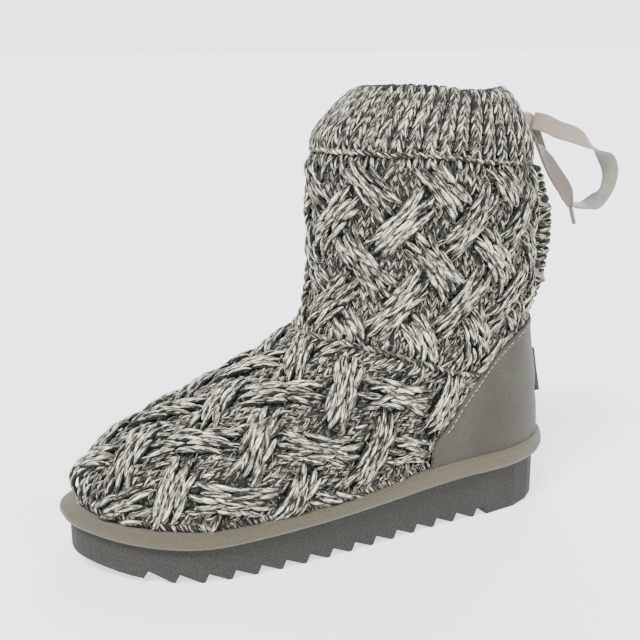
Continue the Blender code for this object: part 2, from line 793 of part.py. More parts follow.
def crossing_mesh(centre):
    # one crossing of two ribbons: a middle rhombus with an arm from each side
    size = math.hypot(LACING_SPREAD, LACING_RISE)
    one = np.array([LACING_SPREAD, LACING_RISE]) / size
    two = np.array([-LACING_SPREAD, LACING_RISE]) / size
    half = RIBBON_WIDTH / 2 / abs(one[0] * two[1] - one[1] * two[0])
    flat = []
    seats = []
    faces = []
    for arm, cross in ((one, two), (-one, two), (two, one), (-two, one)):
        start = len(flat)
        square = np.array([-arm[1], arm[0]]) * np.sign(arm[0] * cross[1] - arm[1] * cross[0])
        flat += [half * arm - half * cross, half * arm + half * cross]
        seats += [1, 1]
        for reach, seat in ARM_STATIONS:
            middle = reach * size * arm
            flat += [middle - RIBBON_WIDTH / 2 * square, middle + RIBBON_WIDTH / 2 * square]
            seats += [seat, seat]
        faces += [(start + k, start + k + 1, start + k + 3, start + k + 2) for k in (0, 2, 4)]
    start = len(flat)
    flat += [half * (i * one + j * two) for i, j in ((0, 0), (1, 1), (-1, 1), (-1, -1), (1, -1))]
    seats += [1] * 5
    faces += [(start, start + k, start + k % 4 + 1) for k in (1, 2, 3, 4)]
    flat = np.array(flat)
    z = centre + flat[:, 1]
    out = 2 * GAP + np.array(seats) * (edge_raise(z) + RIBBON_LIFT)
    turns = across_back(flat[:, 0], z)
    return pushed_form(turns, z, out + RIBBON_THICKNESS), pushed_form(turns, z, out), faces


def build_lacing():
    crossings = {"ribbon_crossing_upper": UPPER_CROSSING, "ribbon_crossing_lower": LOWER_CROSSING}
    for name, centre in crossings.items():
        top, under, faces = crossing_mesh(centre)
        _, kept, same = np.unique(np.round(under, 6), axis=0, return_index=True, return_inverse=True)
        same = same.reshape(-1)
        faces = [tuple(int(same[k]) for k in face) for face in faces]
        thick(name, top[kept], under[kept], faces, "grosgrain_ribbon")


def smooth_route(route, count):
    rows = np.array(route, float)
    run = lengths_along(rows[:, :3])
    at = np.linspace(0, run[-1], count)
    return np.stack([through(run, rows[:, k], at) for k in range(rows.shape[1])], 1)


def ribbon(name, route, count, taper=1.0):
    # a flat strip along the route, turned the way each row of it faces
    rows = smooth_route(route, count)
    line = rows[:, :3] * MM
    ahead = np.gradient(line, axis=0)
    ahead /= np.linalg.norm(ahead, axis=1)[:, None]
    side = np.cross(ahead, rows[:, 3:])
    side /= np.linalg.norm(side, axis=1)[:, None]
    face = np.cross(side, ahead) * RIBBON_THICKNESS / 2
    narrowing = np.interp(np.linspace(0, 1, count), (0, TAPER_START, 1), (1, 1, taper))
    side *= RIBBON_WIDTH / 2 * narrowing[:, None]
    rings = [
        np.array([line[k] + i * side[k] + j * face[k] for i, j in ((1, 1), (-1, 1), (-1, -1), (1, -1))])
        for k in range(count)
    ]
    ringed(name, rings, "grosgrain_ribbon", capped=True, smooth=False)
    return line[-1], ahead[-1]


def aglet(name, start, heading):
    bpy.ops.mesh.primitive_cylinder_add(vertices=10, radius=AGLET_DIAMETER / 2, depth=AGLET_LENGTH)
    made = bpy.context.active_object
    made.name = name
    made.data.name = name
    made.location = start + heading * (GAP + AGLET_LENGTH / 2)
    made.rotation_mode = "QUATERNION"
    made.rotation_quaternion = Vector(heading).to_track_quat("Z", "Y")
    made.data.materials.append(material("grey_plastic"))


def build_knot():
    bpy.ops.mesh.primitive_cube_add(size=1, location=np.array(KNOT_PLACE) * MM)
    made = bpy.context.active_object
    made.name = "ribbon_knot"
    made.data.name = "ribbon_knot"
    made.scale = KNOT_SIZE
    bpy.ops.object.transform_apply(location=False, rotation=False, scale=True)
    rounding = made.modifiers.new("rounding", "BEVEL")
    rounding.width = KNOT_ROUND
    rounding.segments = 2
    made.data.materials.append(material("grosgrain_ribbon"))


def build_bow():
    build_knot()
    ribbon("ribbon_loop_outer", OUTER_LOOP, 24)
    ribbon("ribbon_loop_inner", INNER_LOOP, 22)
    aglet("aglet_outer", *ribbon("ribbon_end_outer", OUTER_END, 9, TIP_TAPER))
    aglet("aglet_inner", *ribbon("ribbon_end_inner", INNER_END, 9, TIP_TAPER))


def stand_on_origin():
    # the boot without its bow stands with the middle of its box on the origin
    bpy.context.view_layer.update()
    places = [
        thing.matrix_world @ Vector(corner)
        for thing in bpy.data.objects
        if not thing.name.startswith(BOW)
        for corner in thing.bound_box
    ]
    middle = (np.min(places, axis=0) + np.max(places, axis=0)) / 2
    for thing in bpy.data.objects:
        thing.location -= Vector((middle[0], middle[1], 0))


def main():
    clear_scene()
    build_outsole()
    build_band()
    build_insole()
    build_upper()
    build_cuff()
    build_counter()
    build_patch()
    build_back_edges()
    build_lacing()
    build_bow()
    stand_on_origin()


main()
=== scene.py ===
import math

import bpy
import numpy as np
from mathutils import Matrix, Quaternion, Vector


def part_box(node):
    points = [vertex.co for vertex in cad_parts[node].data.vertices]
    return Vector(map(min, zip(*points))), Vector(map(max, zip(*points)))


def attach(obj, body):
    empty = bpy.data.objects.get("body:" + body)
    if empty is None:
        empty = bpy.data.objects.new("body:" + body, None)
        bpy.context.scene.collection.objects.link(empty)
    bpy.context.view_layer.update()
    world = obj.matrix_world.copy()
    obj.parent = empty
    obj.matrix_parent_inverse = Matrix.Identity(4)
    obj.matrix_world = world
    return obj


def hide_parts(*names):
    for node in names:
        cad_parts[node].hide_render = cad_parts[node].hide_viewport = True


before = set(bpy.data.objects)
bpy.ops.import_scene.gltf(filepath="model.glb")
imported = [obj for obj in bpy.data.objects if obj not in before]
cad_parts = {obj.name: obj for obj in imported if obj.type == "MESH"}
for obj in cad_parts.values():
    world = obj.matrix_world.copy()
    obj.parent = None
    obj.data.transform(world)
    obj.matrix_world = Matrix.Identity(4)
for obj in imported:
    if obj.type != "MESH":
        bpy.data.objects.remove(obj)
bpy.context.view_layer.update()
mm = 0.001
fullTurn = 2 * math.pi


# sRGB hex to linear colour
def hexColour(text):
    values = [int(text[i:i + 2], 16) / 255 for i in (0, 2, 4)]
    return tuple(v / 12.92 if v <= 0.04045 else ((v + 0.055) / 1.055) ** 2.4 for v in values) + (1.0,)


# a node with its settings and links: sockets by name or number, a link is given as (node, output)
def addNode(tree, kind, inputs=None, **settings):
    node = tree.nodes.new("ShaderNode" + kind)
    for name, value in settings.items():
        setattr(node, name, value)
    for name, value in (inputs or {}).items():
        socket = node.inputs[name]
        if isinstance(value, tuple) and isinstance(value[0], bpy.types.Node):
            tree.links.new(value[0].outputs[value[1]], socket)
        else:
            socket.default_value = value
    return node


def newMaterial(name, base, **values):
    made = bpy.data.materials.new(name)
    made.use_nodes = True
    shader = made.node_tree.nodes["Principled BSDF"]
    shader.inputs["Base Color"].default_value = hexColour(base)
    for socket, value in values.items():
        shader.inputs[socket.replace("_", " ")].default_value = value
    return made, made.node_tree, shader


# colours the shader by a value: each stop is (position, hex), the first two are the ends
def paintRamp(tree, shader, value, stops):
    tone = addNode(tree, "ValToRGB", {"Fac": value})
    elements = tone.color_ramp.elements
    for k, (position, colour) in enumerate(stops):
        stop = elements[k] if k < 2 else elements.new(position)
        stop.position, stop.color = position, hexColour(colour)
    tree.links.new(tone.outputs["Color"], shader.inputs["Base Color"])


# relief from a value, its distance in millimetres
def paintBump(tree, shader, height, strength, distance, invert=False):
    bump = addNode(tree, "Bump", {"Height": height, "Strength": strength, "Distance": distance * mm},
                   invert=invert)
    tree.links.new(bump.outputs[0], shader.inputs["Normal"])


# a material with one fine pattern that gives it both its tone and its relief (strength, distance, invert)
def finePattern(name, base, kind, pattern, stops, relief=None, **values):
    made, tree, shader = newMaterial(name, base, **values)
    place = addNode(tree, "TexCoord")
    fine = addNode(tree, "Tex" + kind, {"Vector": (place, "Object"), **pattern})
    value = (fine, "Distance" if kind == "Voronoi" else "Fac")
    paintRamp(tree, shader, value, stops)
    if relief:
        paintBump(tree, shader, value, *relief)
    return made


def unit(vectors):
    return vectors / np.linalg.norm(vectors, axis=-1, keepdims=True)


# one array for each column of a list of rows
def columnsOf(rows, scale=1.0):
    return [np.array([row[k] for row in rows]) * scale for k in range(3)]


# rounds a piece's sharp edges: width in millimetres, angle in degrees
def roundEdges(piece, name, width, angle):
    rounding = piece.modifiers.new(name, "BEVEL")
    rounding.width = width * mm
    rounding.segments = 2
    rounding.limit_method = "ANGLE"
    rounding.angle_limit = math.radians(angle)


# gives a surface its thickness and soft edges
def thicken(piece, thickness, edge):
    bpy.context.view_layer.objects.active = piece
    wall = piece.modifiers.new("wall", "SOLIDIFY")
    wall.thickness = thickness * mm
    wall.offset = 1.0
    roundEdges(piece, "edge", edge, 50)
    for modifier in ("wall", "edge"):
        bpy.ops.object.modifier_apply(modifier=modifier)
    piece.data.shade_smooth()


# shapes of the last and the shaft, in metres: along runs from the back of the heel to the toe
boot = {
    "soleLength": 262 * mm,
    "heelWidth": 81 * mm,
    "ballWidth": 102.5 * mm,
    "toeTurn": 3.8 * mm,
    "instep": 112 * mm,
    "shaft": 111 * mm,
    "shaftLength": 128 * mm,
    "shaftWidth": 96 * mm,
    # height, how far the back corners are drawn in
    "drawnIn": [(104, 0), (120, 1.0), (150, 2.0), (172, 3.0), (188, 4.0), (205, 2.8), (224, 2.0)],
    "cornerTurn": 0.5,
    "cornerWidth": 0.42,
    "counterLength": 86 * mm,
    "counterHeight": 103 * mm,
    "cuffHeight": 31,             # in millimetres from here on
    "cuffBackDrop": 9,            # the cuff's seam lies that much lower at the back
    # turn, how much higher the cuff's seam runs there
    "cuffLift": [(0.0, 2.5), (0.6, 3.5), (1.4, 3.4), (1.7, 4.6), (1.95, 5.4), (2.3, 4.8), (2.6, 4.8),
                 (3.4, 3.8), (4.7, 3.5), (6.0, 3.0)],
    "bandHeel": 28,               # underside of the midsole at the heel, and how much lower it is at the toe
    "bandFall": 12.5,
    "toeSpring": 8,
    "springLength": 63,
    "bandHeight": 10.8,
    "tapeDrop": 3.4,              # the taped edge stands lower in front of the counter
    "dropStart": 84,
    "dropLength": 44,
}

# outline of the sole: along as share of its length, then shares of half the heel, half the ball and
# the toe turn
outlineRows = [
    (0.000, 0.00, 0.00, 0.0), (0.035, 0.66, 0.00, 0.0), (0.130, 0.98, 0.00, 0.0), (0.270, 1.00, 0.00, 0.0),
    (0.420, 0.95, 0.12, 0.0), (0.560, 0.52, 0.53, 0.0), (0.700, 0.00, 0.95, 0.0), (0.820, 0.00, 0.87, 0.0),
    (0.920, 0.00, 0.59, 0.1), (0.985, 0.00, 0.24, 0.6), (1.000, 0.00, 0.00, 1.0),
    (0.985, 0.00, -0.28, 1.0), (0.920, 0.00, -0.68, 0.6), (0.820, 0.00, -0.95, 0.2),
    (0.700, 0.00, -1.05, 0.0), (0.560, -0.50, -0.40, 0.0), (0.420, -0.78, 0.00, 0.0),
    (0.270, -0.96, 0.00, 0.0), (0.130, -0.98, 0.00, 0.0), (0.035, -0.66, 0.00, 0.0),
]
# level cuts: height, back, front, half width, ovalness. Foot rows are shares of instep, length and ball,
# shaft rows are shares of the shaft's height, length and width
footRows = [
    (0.20, 0.003, 0.970, 0.94, 0.00), (0.28, 0.003, 0.978, 0.97, 0.00), (0.40, 0.004, 0.976, 0.99, 0.05),
    (0.53, 0.008, 0.893, 0.97, 0.12), (0.67, 0.016, 0.737, 0.93, 0.22), (0.80, 0.025, 0.603, 0.88, 0.38),
    (0.92, 0.028, 0.525, 0.86, 0.58),
]
shaftRows = [
    (0.06, 0.040, 1.020, 0.91, 0.80), (0.20, 0.029, 1.012, 0.93, 0.95), (0.34, 0.027, 1.008, 0.96, 1.00),
    (0.47, 0.025, 1.005, 0.99, 1.00), (0.60, 0.033, 1.010, 1.01, 1.00), (0.73, 0.060, 0.998, 1.01, 1.00),
    (0.82, 0.095, 0.960, 0.98, 1.00), (0.91, 0.140, 0.885, 0.92, 1.00), (1.00, 0.195, 0.800, 0.84, 1.00),
]


def smoothThrough(xs, ys, at):
    xs, ys = np.asarray(xs, float), np.asarray(ys, float)
    slope = np.gradient(ys, xs)
    at = np.clip(at, xs[0], xs[-1])
    i = np.clip(np.searchsorted(xs, at) - 1, 0, len(xs) - 2)
    width = xs[i + 1] - xs[i]
    t = (at - xs[i]) / width
    return ((2 * t**3 - 3 * t**2 + 1) * ys[i] + (t**3 - 2 * t**2 + t) * width * slope[i]
            + (3 * t**2 - 2 * t**3) * ys[i + 1] + (t**3 - t**2) * width * slope[i + 1])


def runLength(points):
    return np.concatenate([[0], np.cumsum(np.linalg.norm(np.diff(points, axis=0), axis=1))])


def evenly(points, count):
    run = runLength(points)
    at = np.linspace(0, run[-1], count)
    return np.stack([np.interp(at, run, points[:, k]) for k in range(points.shape[1])], 1)


def outlineLoop():
    rows = np.array(outlineRows)
    x = rows[:, 1] * boot["heelWidth"] / 2 + rows[:, 2] * boot["ballWidth"] / 2 - rows[:, 3] * boot["toeTurn"]
    points = np.stack([x, rows[:, 0] * boot["soleLength"]], 1)
    before, after, beyond = np.roll(points, 1, 0), np.roll(points, -1, 0), np.roll(points, -2, 0)
    t = (np.arange(16) / 16)[:, None, None]
    curve = 0.5 * (2 * points + (after - before) * t + (2 * before - 5 * points + 4 * after - beyond) * t**2
                   + (3 * points - before - 3 * after + beyond) * t**3)
    curve = curve.transpose(1, 0, 2).reshape(-1, 2)
    toe = int(curve[:, 1].argmax())
    outer = evenly(curve[:toe + 1], 181)
    inner = evenly(np.vstack([curve[toe:], curve[:1]]), 181)
    return np.vstack([outer, inner[1:]])


soleLoop = outlineLoop()
loopShare = np.linspace(0, fullTurn, len(soleLoop))
soleLow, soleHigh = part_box("outsole")
xShift = (soleLow.x + soleHigh.x) / 2 - (soleLoop[:, 0].min() + soleLoop[:, 0].max()) / 2
heelBack = soleHigh.y


# x and along of the sole's edge, by turn: 0 heel, pi toe, the outer side first
def soleEdge(turns, out=0.0):
    turns = np.mod(turns, fullTurn)
    x, along = np.interp(turns, loopShare, soleLoop[:, 0]), np.interp(turns, loopShare, soleLoop[:, 1])
    if out == 0.0:
        return x, along
    x0, a0 = soleEdge(turns - 0.02)
    x1, a1 = soleEdge(turns + 0.02)
    size = np.hypot(x1 - x0, a1 - a0)
    return x + (a1 - a0) / size * out, along - (x1 - x0) / size * out


def toWorld(x, along, z):
    return np.stack(np.broadcast_arrays(x + xShift, heelBack - along, z), -1)


def scaledRows(rows, height, length, width):
    return np.array(rows) * (boot[height], boot[length], boot[length], boot[width] / 2, 1)


footCut = scaledRows(footRows, "instep", "soleLength", "ballWidth")
shaftCut = scaledRows(shaftRows, "shaft", "shaftLength", "shaftWidth")
shaftCut[:, 0] += boot["instep"]
cutRows = np.vstack([footCut, shaftCut]).T


def formPoint(turns, z):
    height, back, front, half, oval = cutRows
    back, front, half, oval = (smoothThrough(height, row, z) for row in (back, front, half, oval))
    x, along = soleEdge(turns)
    oval = np.clip(oval, 0, 1)
    share = (1 - oval) * along / boot["soleLength"] + oval * (1 - np.cos(turns)) / 2
    side = (1 - oval) * x / (boot["ballWidth"] / 2) + oval * np.sin(turns)
    return toWorld(half * side, back + (front - back) * share, z)


def formNormal(turns, z):
    around = formPoint(turns + 0.03, z) - formPoint(turns - 0.03, z)
    up = formPoint(turns, z + 0.5 * mm) - formPoint(turns, z - 0.5 * mm)
    return unit(np.cross(up, around))


# the knit sits closer than the form at the two back corners of the shaft, as a laced back draws it in
def drawnIn(turns, z):
    corner = np.abs(np.mod(turns + math.pi, fullTurn) - math.pi) - boot["cornerTurn"]
    return np.interp(z / mm, *np.array(boot["drawnIn"]).T) * mm * np.exp(-(corner / boot["cornerWidth"]) ** 2)


def formOut(turns, z, out):
    turns, z, out = np.broadcast_arrays(turns, z, out)
    out = out - drawnIn(turns, z)
    return formPoint(turns, z) + formNormal(turns, z) * out[..., None]


# camera at the photograph's angle
camera = {
    "place": (493.46 * mm, -247.92 * mm, 248.82 * mm),
    "azimuth": 63.67,
    "elevation": 15.2,
    "roll": -0.28,
    "lens": 61.72,
    "shiftX": 0.0078,
    "shiftY": 0.0270,
}
bpy.ops.object.camera_add(location=camera["place"])
cameraObject = bpy.context.active_object
cameraObject.name = "photoCamera"
cameraObject.data.lens = camera["lens"]
cameraObject.data.sensor_width = 36
cameraObject.data.shift_x = camera["shiftX"]
cameraObject.data.shift_y = camera["shiftY"]
cameraObject.data.clip_start = 0.01
turnRound = math.radians(camera["azimuth"])
turnUp = math.radians(camera["elevation"])
towardCamera = Vector((math.sin(turnRound) * math.cos(turnUp), -math.cos(turnRound) * math.cos(turnUp),
                       math.sin(turnUp)))
cameraTurn = (-towardCamera).to_track_quat("-Z", "Y")
cameraObject.rotation_mode = "QUATERNION"
cameraObject.rotation_quaternion = cameraTurn @ Quaternion((0, 0, 1), math.radians(camera["roll"]))
bpy.context.scene.camera = cameraObject

# white studio: a seamless floor, an even backdrop and three broad soft lights
studio = {
    "floor": "C4C4C4",
    "floorSize": 40,              # metres, so that no horizon shows
    "glow": 1.35,                 # the floor is a lit acrylic table, so that no hard shadow falls
    "world": 1.0,
    "backdrop": 3.0,              # what the camera sees behind the floor
    # name: (direction it comes from, how wide it is in degrees, strength)
    "lights": {
        "keyLight": ((0.45, -0.65, 1.05), 21, 6.6),
        "fillLight": ((1.0, 0.55, 0.5), 37, 1.85),
        "backLight": ((-0.7, 0.5, 0.8), 34, 2.8),
    },
}
bpy.ops.mesh.primitive_plane_add(size=studio["floorSize"], location=(0, 0, 0))
floorPlane = bpy.context.active_object
floorPlane.name = "studioFloor"
floorPaint, _, _ = newMaterial("lit white acrylic", studio["floor"], Roughness=0.9,
                               Emission_Strength=studio["glow"], Emission_Color=(1, 1, 1, 1))
floorPlane.data.materials.append(floorPaint)
studioWorld = bpy.data.worlds.new("studioWorld")
studioWorld.use_nodes = True
worldTree = studioWorld.node_tree
seen = addNode(worldTree, "LightPath")
glow = addNode(worldTree, "MapRange", {"Value": (seen, "Is Camera Ray"), "To Min": studio["world"],
                                       "To Max": studio["backdrop"]})
worldTree.nodes["Background"].inputs["Color"].default_value = (1, 1, 1, 1)
worldTree.links.new(glow.outputs[0], worldTree.nodes["Background"].inputs["Strength"])
bpy.context.scene.world = studioWorld
for lightName, (direction, spread, strength) in studio["lights"].items():
    bpy.ops.object.light_add(type="SUN", location=direction)
    lamp = bpy.context.active_object
    lamp.name = lightName
    lamp.data.angle = math.radians(spread)
    lamp.data.energy = strength
    lamp.rotation_euler = (-Vector(direction)).to_track_quat("-Z", "Y").to_euler()
print("studio ready")


# makes a mesh object from points and quads, smooth, with its material, riding on the boot
def makePiece(name, points, quads, materials, replaces=(), uvs=None, faceMaterial=None, lots=None,
              deep=None):
    points = np.asarray(points, np.float32).reshape(-1, 3)
    quads = np.asarray(quads, np.int32).reshape(-1, 4)
    mesh = bpy.data.meshes.new(name)
    mesh.vertices.add(len(points))
    mesh.vertices.foreach_set("co", points.ravel())
    mesh.loops.add(quads.size)
    mesh.loops.foreach_set("vertex_index", quads.ravel())
    mesh.polygons.add(len(quads))
    mesh.polygons.foreach_set("loop_start", np.arange(0, quads.size, 4, dtype=np.int32))
    mesh.update(calc_edges=True)
    mesh.validate()
    mesh.shade_smooth()
    for one in materials:
        mesh.materials.append(one)
    if faceMaterial is not None:
        mesh.polygons.foreach_set("material_index", np.asarray(faceMaterial, np.int32))
    if uvs is not None:
        layer = mesh.uv_layers.new(name="strand")
        layer.data.foreach_set("uv", np.asarray(uvs, np.float32).reshape(-1, 2)[quads.ravel()].ravel())
    for label, values in (("lot", lots), ("deep", deep)):
        if values is not None:
            attribute = mesh.attributes.new(label, "FLOAT", "POINT")
            attribute.data.foreach_set("value", np.asarray(values, np.float32).ravel())
    piece = bpy.data.objects.new(name, mesh)
    bpy.context.collection.objects.link(piece)
    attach(piece, "root")
    if replaces:
        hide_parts(*replaces)
    return piece


def gridQuads(rows, columns, closed=False, start=0):
    grid = start + np.arange(rows * columns).reshape(rows, columns)
    if closed:
        grid = np.hstack([grid, grid[:, :1]])
    return np.stack([grid[:-1, :-1], grid[:-1, 1:], grid[1:, 1:], grid[1:, :-1]], -1).reshape(-1, 4)


# ribbon routes from the knot, in millimetres: place, then the way its face looks
ribbonRoutes = {
    "outerLoop": [
        (5.6, 128.5, 206, 1, -0.4, 0), (8, 133, 205, 1, -0.2, 0), (10, 142, 201, 1, 0, 0.1),
        (9, 153, 198, 1, 0, 0.2), (7, 164, 194, 0.8, 0.3, 0.5), (5, 174, 189, 0.2, 0.6, 0.8),
        (4, 181, 184, -0.5, 0.6, 0.5), (3, 186, 177, -0.9, 0.4, 0.1), (2, 187, 170, -1, 0.2, 0),
        (0, 185, 162, -1, 0, 0), (-2, 181, 158, -0.8, -0.1, -0.5), (-3, 174, 156, -0.3, 0, -1),
        (-4, 166, 157, -0.3, 0, -1), (-4, 158, 162, -0.5, -0.6, -0.7), (-3, 149, 174, -0.3, -0.8, -0.5),
        (-1, 140, 190, -0.1, -1, -0.5), (0, 133, 203, 0, -1, -0.4),
    ],
    "outerEnd": [
        (3.5, 128.3, 198.8, 0.5, 0.8, 0), (9, 131, 193, 0.75, 0.65, 0), (12, 134, 186, 0.9, 0.4, 0.1),
        (12.5, 139.5, 178, 1, 0.2, 0.1), (13.5, 146, 169, 1, 0.1, 0.1), (13, 150, 162, 1, 0.1, 0),
        (12, 152, 158, 1, 0, 0),
    ],
    "innerLoop": [
        (-5.3, 128.5, 206, 0, 1, 0), (-14, 129, 206, 0, 1, 0.1), (-26, 127, 204, -0.2, 1, 0.2),
        (-38, 121, 198, -0.4, 0.8, 0.5), (-47, 113, 190, -0.6, 0.3, 0.7), (-50, 106, 182, -0.9, 0, 0.4),
        (-48, 104, 173, -0.9, -0.3, -0.2), (-42, 112, 171, -0.5, -0.5, -0.7),
        (-34, 125, 175, -0.2, -0.6, -0.8), (-26, 132, 179, 0, -0.9, -0.5),
        (-19, 137, 187, 0, -1, -0.2), (-13, 136, 195, 0, -1, 0),
        (-9.8, 131.5, 200, 0, -1, 0),
    ],
    "innerEnd": [
        (-3, 126.3, 198.8, -0.2, 1, 0), (-9, 129.5, 192, -0.3, 1, 0), (-18, 129, 184, -0.4, 0.9, 0.1),
        (-26, 124, 175, -0.5, 0.85, 0.1), (-31, 119.5, 166, -0.6, 0.8, 0.1),
        (-34, 117.5, 158, -0.6, 0.8, 0.1),
    ],
}
ribbon = {
    "width": 9.5, "thickness": 0.55, "across": 8, "cup": 0.5, "aglet": 10,
    # from the tip back, how wide the folded end is
    "fold": [(0, 1.3), (1.5, 4.5), (9, 9.5)],
}


def routeWorld(rows):
    rows = np.array(rows, float)
    place = rows[:, :3] * mm
    return place + (xShift, heelBack, 0) - (0, boot["soleLength"] / 2, 0), rows[:, 3:]


# flat strip along a route: a cupped band with a face and a back, UVs in metres along and across
def ribbonStrip(name, places, facing, steps, nodes, materials, folded=False):
    run = runLength(places)
    at = np.linspace(0, run[-1], steps)
    line = np.stack([smoothThrough(run, places[:, k], at) for k in range(3)], 1)
    face = np.stack([smoothThrough(run, facing[:, k], at) for k in range(3)], 1)
    width = np.full(steps, ribbon["width"] * mm)
    if folded:
        # the folded end narrows and runs on through the aglet
        ahead = unit(line[-1] - line[-2])
        more = np.linspace(0.5, ribbon["aglet"] * 0.95, 8)[:, None] * mm
        line = np.vstack([line, line[-1] + ahead * more])
        face = np.vstack([face, np.repeat(face[-1:], 8, 0)])
        run = runLength(line)
        left = run[-1] - ribbon["aglet"] * mm - run
        width = np.interp(left, *np.array(ribbon["fold"]).T * mm)
    ahead = unit(np.gradient(line, axis=0))
    side = unit(np.cross(ahead, face))
    face = np.cross(side, ahead)
    run = runLength(line)
    across = np.linspace(-0.5, 0.5, ribbon["across"] + 1)
    cup = ribbon["cup"] * mm * (4 * across**2 - 1)
    half = ribbon["thickness"] * mm / 2
    top = (line[:, None] + side[:, None] * (width[:, None] * across)[..., None]
           + face[:, None] * (cup + half)[:, None])
    back = top - face[:, None] * 2 * half
    count, wide = len(line), len(across)
    grid = np.arange(count * wide).reshape(count, wide)
    quads = gridQuads(count, wide)
    under = quads[:, ::-1] + count * wide
    rim = np.concatenate([grid[0, :-1], grid[:-1, -1], grid[-1, :0:-1], grid[:0:-1, 0]])
    nextRim = np.roll(rim, -1)
    sides = np.stack([nextRim, rim, rim + count * wide, nextRim + count * wide], 1)
    uv = np.stack(np.broadcast_arrays(run[:, None], width[:, None] * across), -1).reshape(-1, 2)
    faces = np.vstack([quads, under, sides])
    shade = [0] * len(quads) + [1] * len(under) + [0] * len(sides)
    piece = makePiece(name, np.vstack([top.reshape(-1, 3), back.reshape(-1, 3)]), faces, materials,
                      nodes, np.vstack([uv, uv]), shade)
    return piece, line


# grosgrain: fine ribs across the ribbon, soft sheen
def grosgrain(name, light, dark, roughness):
    made, tree, shader = newMaterial(name, light, Roughness=roughness, Sheen_Weight=0.25)
    place = addNode(tree, "UVMap", uv_map="strand")
    ribs = addNode(tree, "TexWave", {"Vector": (place, 0), "Scale": 390.0, "Distortion": 0.3},
                   bands_direction="X")
    threads = addNode(tree, "TexNoise", {"Vector": (place, 0), "Scale": 260.0, "Detail": 3.0})
    blend = addNode(tree, "Math", {0: (ribs, "Fac"), 1: (threads, "Fac")}, operation="MULTIPLY")
    paintRamp(tree, shader, (blend, 0), [(0.0, dark), (0.45, light)])
    paintBump(tree, shader, (ribs, "Fac"), 0.5, 0.12)
    return made


ribbonFace = grosgrain("grosgrain ribbon, satin face", "85786C", "6D6157", 0.55)
ribbonBack = grosgrain("grosgrain ribbon, back", "7D7B6E", "605E54", 0.62)
# the folded ends: the same ribbon face painted darker, as in shade
ribbonEndShaded = grosgrain("grosgrain ribbon, folded end in painted shade", "5E5148", "463C35", 0.55)
ribbonPaint = [ribbonFace, ribbonBack]
for side, steps in (("outer", 90), ("inner", 80)):
    loop, line = ribbonStrip(side + "Loop", *routeWorld(ribbonRoutes[side + "Loop"]), steps,
                             ["ribbon_loop_" + side], ribbonPaint)
for side in ("outer", "inner"):
    end, line = ribbonStrip(side + "End", *routeWorld(ribbonRoutes[side + "End"]), 40,
                            ["ribbon_end_" + side], [ribbonEndShaded, ribbonEndShaded], folded=True)
print("ribbon ready")


# yarn and the basket knit: lengths in millimetres
knit = {
    "seed": 7,
    "acrossRepeat": 35.3,
    "shaftRepeat": 41.0,
    "vampRepeat": 48.0,
    "shaftStart": (2.0, 101.0),   # a strip's middle: round from the back, height
    "vampStart": (12.0, 37.0),    # a strip's middle: down from the ridge, along it
    "columns": 5,
    "columnPitch": 2.7,
    "lobe": 14.5,
    "overlap": 2.5,
    "stagger": 2.8,
    "splay": 5,                   # degrees that neighbouring stitches lean apart, then how much they fan out
    "fan": 4,
    "lobeWidth": 3.3,
    "swell": 0.75,                # how much a stitch rises in its middle, and how deep it sits
    "sink": 1.35,
    "stripHalf": 23.5,
    "arch": 3.7,
    "ground": -1.2,
    "wall": 3.7,
    "backClear": 15.5,
    "light": "E4E3CD",
    "mid": "737164",
    "dark": "121210",
    "cut": 0.508,                 # streak value where the dark ply turns into the light one
    "paintedHollowShade": 0.06,               # painted shade: how much more of the dark ply is painted in the hollows, where shade falls
    "cluster": 0.11,
    "fibre": 0.16,
    # short stitches in the hollows: from one wale or row to the next, length, width, slope of a leg
    "wale": 4.7,
    "row": 5.2,
    "leg": 8.0,
    "legWidth": 2.9,
    "legSlope": 0.42,
    "legSpread": 1.25,
    "legSink": 1.15,
    "clear": 2.4,                 # from the counter's edge to the first stitch
    "cuffClear": 4.5,
    "drawIn": 5.0,                # from a border inward, where the stitches are drawn in, and how deep
    "drawDeep": 1.5,
    "hairs": 9000,
    "hair": 3.4,
    "hairWidth": 0.11,
}
chance = np.random.default_rng(knit["seed"])

seamRows = np.array([(0.43, 0.715), (0.57, 0.750), (0.75, 0.832), (0.90, 0.890), (1.04, 0.920)])
counterRows = np.array([(0.00, 1.000), (0.21, 0.985), (0.40, 0.915), (0.58, 0.805), (0.69, 0.715),
                        (0.79, 0.630), (0.88, 0.540), (0.95, 0.480), (1.00, 0.400)])
collar = boot["instep"] + boot["shaft"]


def seamHeight(along):
    return smoothThrough(*(seamRows * (boot["shaftLength"], boot["instep"])).T, along)


def counterTop(along):
    return smoothThrough(*(counterRows * (boot["counterLength"], boot["counterHeight"])).T, along)


def cuffBase(turns):
    lift = np.interp(turns, *np.array(boot["cuffLift"]).T, period=fullTurn) * mm
    atBack = (0.5 + 0.5 * np.cos(turns)) ** 1.5
    return collar - boot["cuffHeight"] * mm - boot["cuffBackDrop"] * mm * atBack + lift


def bandBase(along):
    share = np.clip(along / boot["soleLength"], 0, 1)
    spring = boot["springLength"] * mm
    rise = np.clip((along - (boot["soleLength"] - spring)) / spring, 0, 1.1) ** 2
    return boot["bandHeel"] * mm - boot["bandFall"] * mm * share + boot["toeSpring"] * mm * rise


def tapeDrop(along):
    share = np.clip((along - boot["dropStart"] * mm) / (boot["dropLength"] * mm), 0, 1)
    return boot["tapeDrop"] * mm * share * share * (3 - 2 * share)


def featherHeight(along):
    return bandBase(along) + boot["bandHeight"] * mm - tapeDrop(along)


def alongOf(points):
    return heelBack - points[..., 1]


# chart of the shaft: arc round it from the back, and height. Its girth is measured at mid height
ringTurns = np.linspace(0, fullTurn, 721)
ringRun = runLength(formPoint(ringTurns, np.full(721, 165 * mm)))
girth = ringRun[-1]


def shaftSpot(arc, height):
    return np.interp(np.mod(arc, girth), ringRun, ringTurns), height


